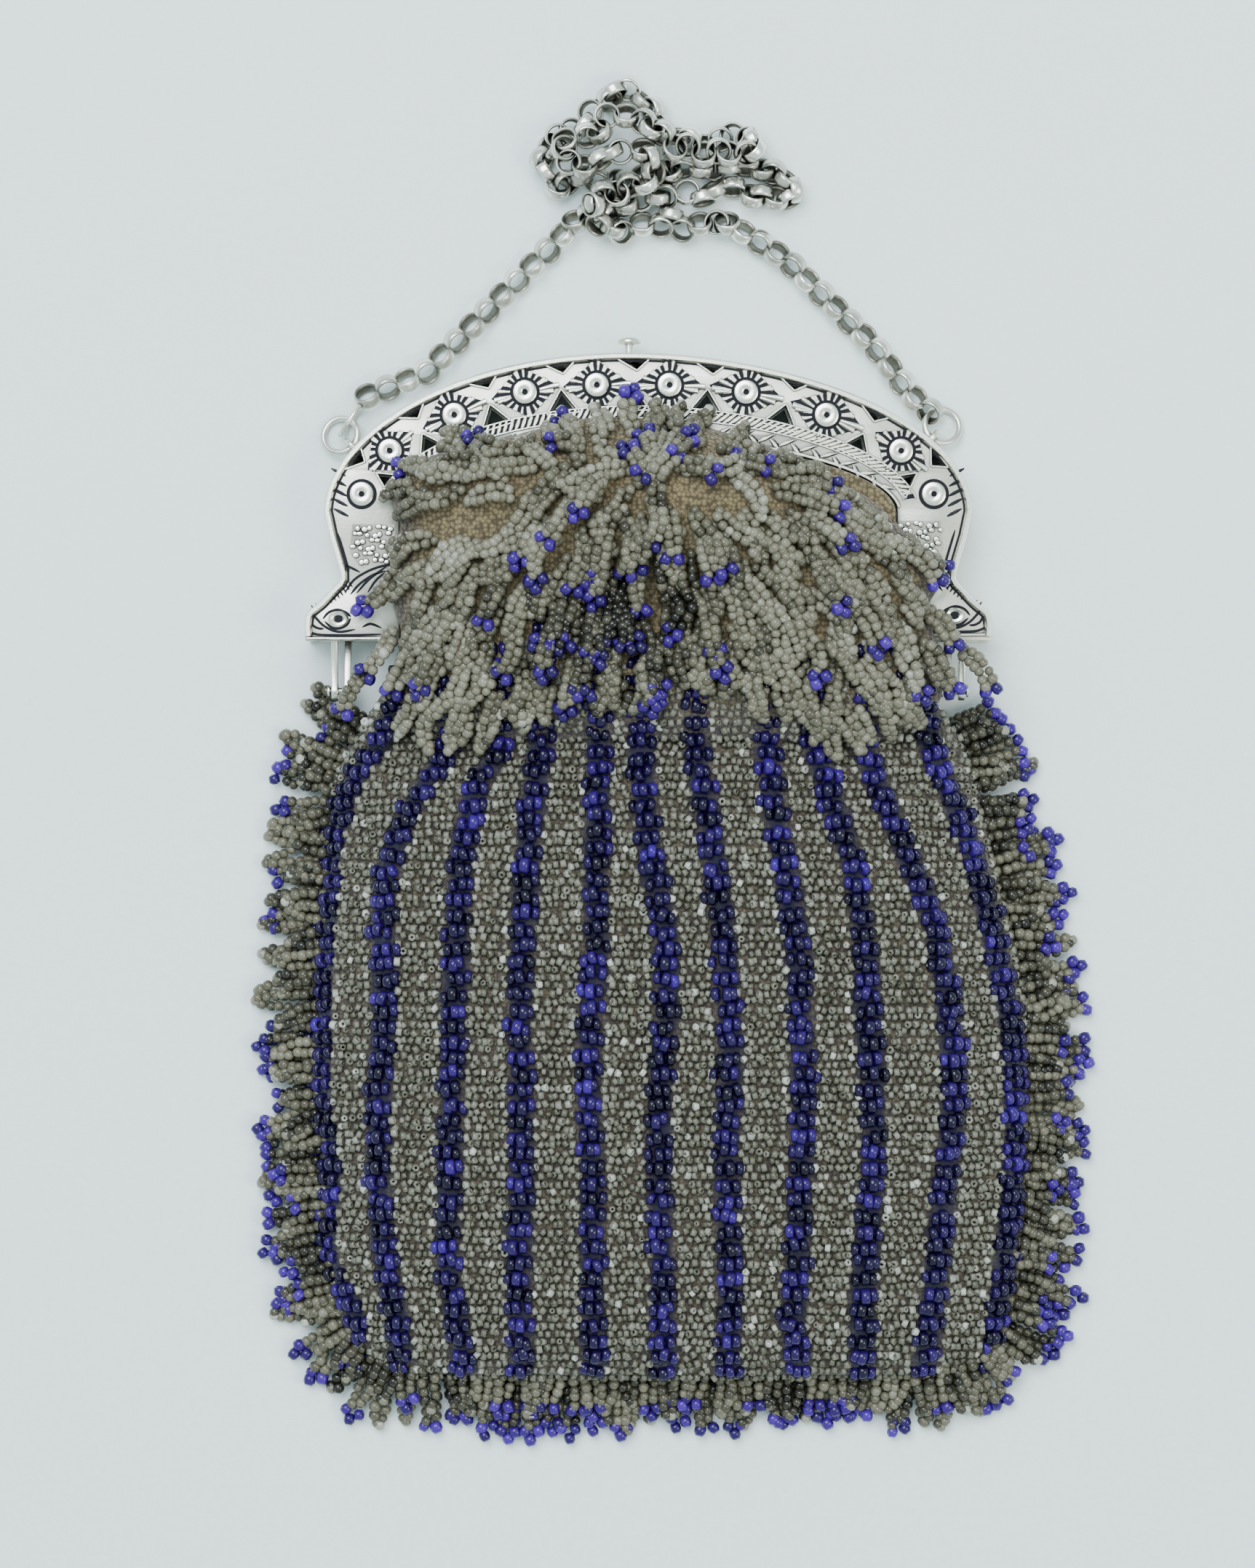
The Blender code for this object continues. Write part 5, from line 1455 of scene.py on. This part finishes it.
@dataclass
class PouchBeads:
    """Rows of beads knitted into the body: blue stripes and clear bands."""

    form: PouchForm = field(default_factory=PouchForm)
    blue_pitch: float = 2.28 * MM
    # Radius, hole and length of the beads
    blue_bead: tuple[float, float, float] = (1.17 * MM, 0.3 * MM, 1.45 * MM)
    clear_bead: tuple[float, float, float] = (0.62 * MM, 0.16 * MM, 0.98 * MM)
    back_bead: tuple[float, float, float] = (0.72 * MM, 0.2 * MM, 1.5 * MM)
    back_pitch: float = 1.7 * MM
    back_row: float = 1.75 * MM
    back_level: float = 0.74 * MM
    stripe_half: float = 1.9 * MM
    clear_size: float = 1.13 * MM
    clear_rows: tuple[float, float] = (1.05 * MM, 1.23 * MM)
    # Stripes that can be seen further up, in the hollow of the puffed top, and how far up
    hollow_stripes: tuple[int, ...] = (3, 4, 5)
    hollow_start: float = 4.4 * MM

    def surface(self, x: Array, y: Array) -> Array:
        """Height of the knit, with the lip of the puffed top over the body."""
        return np.maximum(self.form.level(x, y), self.form.yoke_level(x, y))

    def on_level(self, x: Array, y: Array, lift: float) -> tuple[Array, Array]:
        """Places on the upper side and the direction across it.

        Args:
            x: places across.
            y: places along.
            lift: height above the surface.

        Returns:
            The places and their directions.
        """
        step = 0.4 * MM
        here = self.surface(x, y)
        slope = np.clip((self.surface(x + step, y) - self.surface(x - step, y)) / (2 * step), -1.2, 1.2)
        along = unit(np.stack([np.ones_like(x), np.zeros_like(x), slope], axis=1))
        places = np.stack([x, y, np.maximum(here, 2.2 * MM) + lift], axis=1)
        return places, along

    def blue(self, rng: np.random.Generator) -> None:
        """Stripes of larger blue beads, knobbly at their sides."""
        pile = BeadPile()
        for column in range(STRIPES.shape[1] - 1):
            start = self.form.top + (self.hollow_start if column in self.hollow_stripes else -0.4 * MM)
            end = self.form.bottom() + 0.9 * MM
            rows = np.linspace(start, end, round((start - end) / self.blue_pitch) + 1)
            count = len(rows)
            y = rows + rng.normal(0, 0.12 * MM, count) + rng.uniform(-0.8, 0.8) * MM * np.linspace(1, 0, count)
            y = np.clip(y, self.form.bottom() + 0.6 * MM, start)
            sway = rng.normal(0, 0.26 * MM, count) + 0.18 * MM * np.where(np.arange(count) % 2, 1, -1)
            x = self.form.stripes(y)[:, column] + sway
            shade = rng.uniform(0.08, 0.68, count) + 0.15 * (rng.random(count) > 0.85)
            for offset_x, size in ((-1.2, 0.9), (0.0, 1.06), (1.2, 0.9)):
                shift = rng.normal(0, 0.13, count)
                across, down = x + (offset_x + shift) * MM, y + rng.normal(0, 0.22 * MM, count)
                spots, along = self.on_level(across, down, -0.2 * MM)
                along += np.stack([shift * 0, rng.normal(0, 0.16, count), rng.normal(0, 0.1, count)], axis=1)
                sizes = size * rng.uniform(0.9, 1.1, count)
                pile.put(spots, along, sizes, shade + rng.normal(0, 0.15, count))
        bead = ring_shape(*self.blue_bead, 8, 5)
        pile.make("blue_stripe_beads", bead, BLUE_GLASS.make("blue_glass_stripes"))

    def clear(self, rng: np.random.Generator) -> None:
        """Bands of small clear beads, in rows drawn together by twos."""
        piles = (BeadPile(), BeadPile())
        y, row = self.form.top, 0
        while y > self.form.bottom() + 0.7 * MM:
            left, right, _, _ = self.form.body(np.array([y]))[:, 0]
            spots = self.form.stripes(np.array([y]))[0]
            ends = [(left + 0.5 * MM, spots[0] - self.stripe_half)]
            ends += [(one + self.stripe_half, two - self.stripe_half) for one, two in zip(spots, spots[1:])]
            ends.append((spots[-1] + self.stripe_half, right - 0.5 * MM))
            for low, high in ends:
                count = round((high - low + 0.3 * MM) / self.clear_size)
                if count < 1:
                    continue
                shift = 0.72 if row % 2 else 0.28
                x = low + (high - low) * (np.arange(count) + shift) / count + rng.normal(0, 0.17 * MM, count)
                side = np.minimum(x - low, high - x)
                tone = rng.uniform(0.22, 0.66, count) + 0.22 * (side < 1.0 * MM) + 0.4 * (rng.random(count) > 0.94)
                tone -= 0.15 * (row % 2)
                places, along = self.on_level(x, y + rng.normal(0, 0.15 * MM, count), -0.12 * MM)
                places[:, 2] += rng.normal(0, 0.13 * MM, count)
                along += rng.normal(0, 0.4, along.shape)
                piles[row % 2].put(places, along, rng.uniform(0.86, 1.2, count), tone)
            y -= self.clear_rows[row % 2]
            row += 1
        self.end_wall(piles, rng)
        for name, pile in zip(("even", "odd"), piles):
            shape = ring_shape(*self.clear_bead, 6, 4)
            pile.make(f"clear_beads_{name}_rows", shape, CLEAR_GLASS.make(f"clear_glass_{name}"))

    def end_wall(self, piles: tuple[BeadPile, BeadPile], rng: np.random.Generator) -> None:
        """Rows of clear beads down the pouch's lower end.

        Args:
            piles: where they go, by turns.
            rng: source of the small differences between beads.
        """
        y = self.form.bottom()
        left, right, high, _ = self.form.body(np.array([y]))[:, 0]
        for row, z in enumerate(np.arange(high - 0.5 * MM, 2.4 * MM, -1.1 * MM)):
            x = np.arange(left + 1.2 * MM, right - 1.2 * MM, self.clear_size)
            x = x[self.form.level(x, np.full_like(x, y)) > z + 0.3 * MM]
            places = np.stack([x, np.full_like(x, y - 0.2 * MM), np.full_like(x, z)], axis=1)
            places += rng.normal(0, 0.14 * MM, places.shape)
            along = np.array([1.0, 0, 0]) + rng.normal(0, 0.3, places.shape)
            piles[row % 2].put(places, along, rng.uniform(0.9, 1.15, len(x)), rng.uniform(0.15, 0.6, len(x)))

    def back(self, rng: np.random.Generator) -> None:
        """Beads of the back; the rows are coarser there to save faces."""
        piles = {"blue": BeadPile(), "clear": BeadPile()}
        side = OUTLINE.half_width - OUTLINE.arm - 1.2 * MM
        for y in np.arange(8.6 * MM, self.form.bottom() + 0.8 * MM, -self.back_row):
            # Above the body the rows keep its top edge's stripes
            on_body = np.array([min(y, self.form.top)])
            left, right, _, _ = self.form.body(on_body)[:, 0]
            if y > self.form.top:
                reach = side * max(1 - (max(y, 0.0) / (10.4 * MM)) ** 2, 0.0) ** 0.5
                left, right = -reach, reach
            count = max(round((right - left - 2.4 * MM) / self.back_pitch), 2)
            x = np.linspace(left + 1.2 * MM, right - 1.2 * MM, count) + rng.normal(0, 0.08 * MM, count)
            nearest = np.abs(self.form.stripes(on_body)[0][None] - x[:, None]).min(axis=1)
            level = np.full_like(x, self.back_level)
            places = np.stack([x, np.full_like(x, y) + rng.normal(0, 0.08 * MM, len(x)), level], axis=1)
            along = np.array([1.0, 0, 0]) + rng.normal(0, 0.15, places.shape)
            tones = rng.uniform(0.1, 0.9, len(x))
            striped = nearest < 1.5 * MM
            for name, mask in (("blue", striped), ("clear", ~striped)):
                if mask.any():
                    piles[name].put(places[mask], along[mask], rng.uniform(0.94, 1.04, mask.sum()), tones[mask])
        glass = {"blue": BLUE_GLASS, "clear": CLEAR_GLASS}
        for name, pile in piles.items():
            shape = ring_shape(*self.back_bead, 5, 3)
            pile.make(f"back_beads_{name}", shape, glass[name].make(f"{name}_glass_back"))

    def build(self, rng: np.random.Generator) -> None:
        """Make all the beads of the body."""
        self.blue(rng)
        self.clear(rng)
        self.back(rng)


@dataclass
class LoopMaker:
    """Loops of clear beads with two or three blue beads at their tips."""

    bead: float = 1.24 * MM
    gap: float = 0.7 * MM
    # Half the distance of the two tip beads, and the reach of the third one past them
    tip_half: float = 0.92 * MM
    tip_reach: float = 1.25 * MM
    # Radius and length of the clear beads; radius, hole and length of the blue ones
    clear_bead: tuple[float, float] = (0.8 * MM, 1.36 * MM)
    blue_bead: tuple[float, float, float] = (0.98 * MM, 0.25 * MM, 1.62 * MM)
    dim: float = 0.0
    clear: BeadPile = field(default_factory=BeadPile)
    blue: BeadPile = field(default_factory=BeadPile)

    def loop(self, path: Array, blue_tip: bool, rng: np.random.Generator, swell: float = 1.0) -> None:
        """Lay one loop: two strands along a path and the beads at its tip.

        Args:
            path: 3-D places from root to tip.
            blue_tip: whether blue beads close it.
            rng: source of the small differences between beads.
            swell: how far apart its strands lie.
        """
        places = resample(path, self.bead)
        tip_x, tip_y = places[-1][:2] / MM
        along = unit(np.gradient(places, axis=0))
        side = unit(np.cross(along, (0.0, 0.0, 1.0)))
        share = np.linspace(0, 1, len(places))
        width = self.gap * swell * (0.45 + 0.55 * np.sin(np.pi * np.clip(share * 0.9 + 0.1, 0, 1)) ** 0.5)
        twist = rng.uniform(-0.35, 0.35)
        # Painted shade of the loops that lie in the hollow of the puffed top
        hollow_shade = math.exp(-(((tip_x + 4) / 15) ** 2) - ((tip_y + 19) / 8) ** 2)
        shade = rng.uniform(0.3, 0.74) - 0.46 * hollow_shade - self.dim
        end = -1 if blue_tip else None
        for hand in (-1, 1):
            lift = np.array([0, 0, 1.0]) * (hand * twist * self.gap)
            strand = places + side * width[:, None] * hand + lift + along * self.bead * 0.25 * hand
            strand = strand + rng.normal(0, 0.1 * MM, places.shape)
            tones = shade + rng.normal(0, 0.09, len(places))
            count = len(places[:end])
            sizes = rng.uniform(0.84, 1.12, count)
            self.clear.put(strand[:end], along[:end] + rng.normal(0, 0.14, (count, 3)), sizes, tones[:end])
        tip, ahead, across = places[-1], along[-1], side[-1]
        spots = [tip - across * self.tip_half, tip + across * self.tip_half]
        if rng.random() > 0.5:
            spots.append(tip + ahead * self.tip_reach + across * rng.uniform(-0.5, 0.5) * MM)
        # The tip beads take the painted shade of the hollow too
        tones = rng.uniform(0.3, 1.0, len(spots)) - 0.4 * hollow_shade
        if blue_tip:
            count = len(spots)
            directions = np.array([across + ahead * 0.5, across - ahead * 0.5, ahead * 0.4 + across][:count])
            centres = np.array(spots) + rng.normal(0, 0.1 * MM, (count, 3))
            self.blue.put(centres, directions, rng.uniform(0.9, 1.08, count), tones)
        else:
            self.clear.put(tip[None] + ahead * 0.6 * MM, across, 1.0, tones[:1])

    def make(self, name: str, *nodes: str) -> None:
        """Make both pieces of the loops.

        Args:
            name: start of the pieces' names.
            nodes: the CAD nodes that the clear piece stands for.
        """
        clear = barrel_shape(*self.clear_bead, 6)
        blue = ring_shape(*self.blue_bead, 9, 5)
        self.clear.make(f"{name}_clear_beads", clear, FRINGE_GLASS.make(f"{name}_clear_glass"), *nodes)
        self.blue.make(f"{name}_blue_tips", blue, TIP_GLASS.make(f"{name}_tip_glass"))


@dataclass
class EdgeFringe:
    """Two layers of bead loops sewn round the pouch's sides and bottom."""

    form: PouchForm = field(default_factory=PouchForm)
    spacing: float = 2.6 * MM
    start: float = -29.5 * MM
    # Each layer, in millimetres: loop length, root level, tip level; then its share of blue tips
    layers: tuple[tuple[float, ...], ...] = ((8.6, 1.7, 1.3, 0.78), (6.6, 3.5, 2.8, 0.36))

    def outline(self) -> Array:
        """Edge of the pouch from its left side round to its right side."""
        y = np.linspace(self.start, self.form.bottom(), 60)
        left, right, _, _ = self.form.body(y)
        return np.concatenate([np.stack([left, y], axis=1), np.stack([right, y], axis=1)[::-1]])

    def build(self, rng: np.random.Generator) -> None:
        """Make the fringe."""
        loops = LoopMaker(dim=0.22)
        edge = resample(self.outline(), self.spacing / 4)
        along = unit(np.gradient(edge, axis=0))
        out = np.stack([along[:, 1], -along[:, 0]], axis=1)
        for layer, (reach, root_z, tip_z, share) in enumerate(self.layers):
            for i in range(2 * layer + 1, len(edge) - 1, 4):
                i = min(max(i + rng.integers(-1, 2), 1), len(edge) - 2)
                angle = rng.normal(0, 0.12) + (0.12 if abs(out[i][0]) > 0.6 else 0.0) * -np.sign(out[i][0])
                turn = np.array([[math.cos(angle), -math.sin(angle)], [math.sin(angle), math.cos(angle)]])
                ahead = turn @ out[i]
                length = reach * rng.uniform(0.82, 1.12) * MM
                root = edge[i] - out[i] * (1.0 + 0.8 * layer) * MM
                share_along = np.linspace(0, 1, 5)
                flat = root + ahead * share_along[:, None] * length
                bow = math.sin(i * 1.3) * 0.5 * MM * np.sin(share_along * np.pi)
                flat = flat + left_of(ahead) * bow[:, None]
                z = (root_z + (tip_z - root_z) * share_along + rng.uniform(0, 0.5)) * MM
                z = z + 0.5 * MM * np.sin(share_along * np.pi)
                loops.loop(np.column_stack([flat, z]), rng.random() < share, rng, 1.2)
        loops.make("edge_fringe", "edge_fringe")


# Blue tips over the puffed top, in millimetres, given one by one
YOKE_TIPS = np.array([
    (-25.0, 10.6), (-12.9, 13.4), (-13.9, 9.4), (-2.5, 16.5), (-0.7, 11.0), (-2.8, 8.3), (5.9, 10.3),
    (3.8, 7.5), (-1.1, 4.7), (9.3, 4.7), (13.1, 7.2), (17.0, 6.1), (-35.8, 6.1), (-9.8, -0.5),
    (-14.6, -4.8), (-18.1, -7.4), (-16.0, -10.2), (-8.4, -10.5), (0.3, -5.3), (-1.8, -8.5), (3.4, -7.1),
    (11.1, -9.1), (26.3, 3.3), (27.4, -0.5), (28.1, -5.0), (42.6, -8.8), (41.2, -10.5), (27.4, -13.7),
    (32.6, -19.6), (43.7, -19.6), (24.2, -23.7), (38.8, -26.1), (43.7, -25.8), (49.2, -25.8),
    (9.3, -20.2), (3.4, -17.5), (-1.1, -14.7), (1.0, -26.8), (-23.6, -16.1), (-20.9, -23.7),
    (-40.6, -13.7), (-40.6, -23.4), (-36.8, -26.1), (-32.6, -25.4), (-44.1, -28.9), (-15.2, -19.1),
    (-11.8, -19.9), (-8.2, -20.4), (-5.2, -19.1), (-2.1, -18.9), (-14.7, -23.2), (-9.8, -25.6),
    (-11.8, -28.6), (0.2, -28.1), (1.3, -25.3), (-8.2, -11.4), (-7.2, -9.1), (-3.5, -9.7),
    (-10.8, -11.7), (-7.8, -12.9), (9.1, -10.2), (-7.2, -21.2), (-3.3, -19.8), (-9.1, -26.6),
    (10.3, -23.0), (-12.9, -18.0),

])


@dataclass
class YokeLoops:
    """Loops of beads that fall over the puffed top in all directions."""

    form: PouchForm = field(default_factory=PouchForm)
    pitch: float = 3.45 * MM
    over: float = 1.3

    def heading(self, x: float, y: float) -> Array:
        """Direction in which a loop at a place in millimetres falls."""
        return unit(np.array([x / 27, (y - 4.0) / 12 - 0.12]))

    def bare(self, x: float, y: float) -> bool:
        """Whether a place in millimetres shows the knit without loops."""
        left = ((x + 25) / 7.0) ** 2 + ((y + 1.0) / 3.2) ** 2 < 1
        right = ((x - 7) / 11.0) ** 2 + ((y - 1.2) / 1.8) ** 2 < 1
        return left or right

    def lay(self, loops: LoopMaker, root: Array, tip: Array, blue: bool, rng: np.random.Generator) -> None:
        """Lay one loop from its root to its tip over the surface.

        Args:
            loops: where it goes.
            root: its plan place at the knit, in metres.
            tip: its plan place at its end, in metres.
            blue: whether its tip is blue.
            rng: source of the small differences.
        """
        share = np.linspace(0, 1, 6)
        flat = root + (tip - root) * share[:, None]
        across = unit(left_of(tip - root))
        flat = flat + across * (rng.normal(0, 0.7 * MM) * np.sin(share * np.pi))[:, None]
        rest = self.form.rest(flat[:, 0], flat[:, 1])
        lift = 0.6 + 0.7 * share + 0.8 * np.sin(share * np.pi) + rng.uniform(0, 0.5)
        lift = lift + blue * self.over * smoothstep(0.0, 0.5, share)
        loops.loop(np.column_stack([flat, rest + lift * MM]), blue, rng, rng.uniform(0.7, 1.1))

    def build(self, rng: np.random.Generator) -> None:
        """Make all the loops of the puffed top."""
        loops = LoopMaker()
        row = 0
        for y in np.arange(11.5, -32.0, -self.pitch / MM * 0.9):
            row += 1
            left, right, _ = self.form.yoke_edges(np.array([y * MM]))[:, 0] / MM
            for x in np.arange(left + 2.6 + (row % 2) * 1.8, right - 1.8, self.pitch / MM):
                place = np.array([x, y]) + rng.normal(0, 0.6, 2)
                if self.bare(*place):
                    continue
                ahead = self.heading(*place)
                tangle = math.exp(-((place[0] / 11) ** 2) - ((place[1] - 4) / 6) ** 2)
                angle = rng.normal(0, 0.24 + 0.4 * tangle)
                cos, sin = math.cos(angle), math.sin(angle)
                ahead = np.array([ahead[0] * cos - ahead[1] * sin, ahead[0] * sin + ahead[1] * cos])
                length = rng.uniform(4.8, 7.2) * (0.7 if y > 6 else 1.0)
                if not left + 5.5 < x < right - 5.5:
                    length *= 0.6
                tip = place + ahead * length
                hem = np.interp(tip[0], YOKE_HEM[:, 0], YOKE_HEM[:, 1]) + rng.uniform(-0.6, 0.6)
                if place[1] < hem + 2.5:
                    continue
                if tip[1] < hem:
                    tip = place + (tip - place) * (hem - place[1]) / (tip[1] - place[1])
                if np.linalg.norm(YOKE_TIPS - tip, axis=1).min() < 2.0:
                    continue
                self.lay(loops, place * MM, tip * MM, False, rng)
        for tip in YOKE_TIPS:
            ahead = self.heading(*tip)
            length = 6.8 if tip[1] < 5 else 5.0
            self.lay(loops, (tip - ahead * length) * MM, tip * MM, True, rng)
        loops.make("top_fringe", "yoke_fringe")


@dataclass
class Studio:
    """Pale table, soft light from above and the camera straight over the bag."""

    aim: Point = (-6.38 * MM, -3.51 * MM)
    view_width: float = 180.4 * MM
    distance: float = 0.75
    bag_level: float = 9.0 * MM
    sensor: float = 36.0
    table: str = "#F0FBFB"
    table_worn: str = "#ECF8F9"
    table_half: float = 1.2
    # Clumps of the card's fibres, about 1.1 mm apart
    card_grain: float = 1 / (10 / 9 * MM)
    sky: str = "#DCF1F2"
    sky_strength: float = 1.16

    def floor(self) -> None:
        """Matt card table."""
        nodes = NodeTree("table_card")
        place = nodes.add("TexCoord").outputs["Object"]
        grain = nodes.add("TexNoise", Vector=place, Scale=self.card_grain, Detail=2.0)
        colour = nodes.ramp(grain.outputs["Fac"], [(0.3, self.table_worn), (0.7, self.table)])
        nodes.feed(nodes.shader, Base_Color=colour, Roughness=0.7)
        mesh = bpy.data.meshes.new("table")
        half = self.table_half
        corners = [(x * half, y * half, -0.1 * MM) for x, y in ((-1, -1), (1, -1), (1, 1), (-1, 1))]
        mesh.from_pydata(corners, [], [(0, 1, 2, 3)])
        mesh.materials.append(nodes.material)
        table = bpy.data.objects.new("table", mesh)
        bpy.context.scene.collection.objects.link(table)

    def light(self, name: str, place: tuple[float, float, float], size: float, power: float, colour: str) -> None:
        """Soft square light that looks at the bag.

        Args:
            name: its name.
            place: where it hangs.
            size: length of its side.
            power: its power in watts.
            colour: its hex colour.
        """
        lamp = bpy.data.lights.new(name, "AREA")
        lamp.shape = "SQUARE"
        lamp.size = size
        lamp.energy = power
        lamp.color = linear(colour)[:3]
        obj = bpy.data.objects.new(name, lamp)
        obj.location = place
        obj.rotation_euler = (-Vector(place)).to_track_quat("-Z", "Y").to_euler()
        bpy.context.scene.collection.objects.link(obj)

    def world(self) -> None:
        """Even pale surroundings."""
        world = bpy.data.worlds.new("studio")
        world.use_nodes = True
        sky = world.node_tree.nodes["Background"]
        sky.inputs["Color"].default_value = linear(self.sky)
        sky.inputs["Strength"].default_value = self.sky_strength
        bpy.context.scene.world = world

    def camera(self) -> None:
        """Camera straight above the bag, framed as the photograph."""
        data = bpy.data.cameras.new("overhead")
        data.sensor_fit = "HORIZONTAL"
        data.sensor_width = self.sensor
        data.lens = self.sensor * self.distance / self.view_width
        data.clip_start = 0.01
        data.clip_end = 10
        obj = bpy.data.objects.new("overhead", data)
        obj.location = (*self.aim, self.bag_level + self.distance)
        bpy.context.scene.collection.objects.link(obj)
        bpy.context.scene.camera = obj

    def build(self) -> None:
        """Set up the table, lights and camera."""
        self.floor()
        self.world()
        self.light("softbox_above", (-0.25, 0.45, 1.0), 0.7, 15.0, "#F2F7FF")
        self.light("softbox_side", (0.7, -0.2, 0.9), 0.5, 5.0, "#FFF8EE")
        self.camera()


def main() -> None:
    """Build every piece of the bag and the studio round it."""
    logging.basicConfig(level=logging.INFO, format="%(name)s: %(message)s")
    rng = np.random.default_rng(11)
    silver = SilverFrame()
    silver.back()
    silver.front()
    silver.pins()
    silver.button()
    chain = Chain()
    chain.rings()
    chain.run("left", LEFT_RUN, rng)
    chain.run("right", RIGHT_RUN, rng)
    chain.heap(rng)
    KnitPouch().build()
    PouchBeads().build(rng)
    EdgeFringe().build(rng)
    YokeLoops().build(rng)
    Studio().build()


if __name__ == "__main__":
    main()
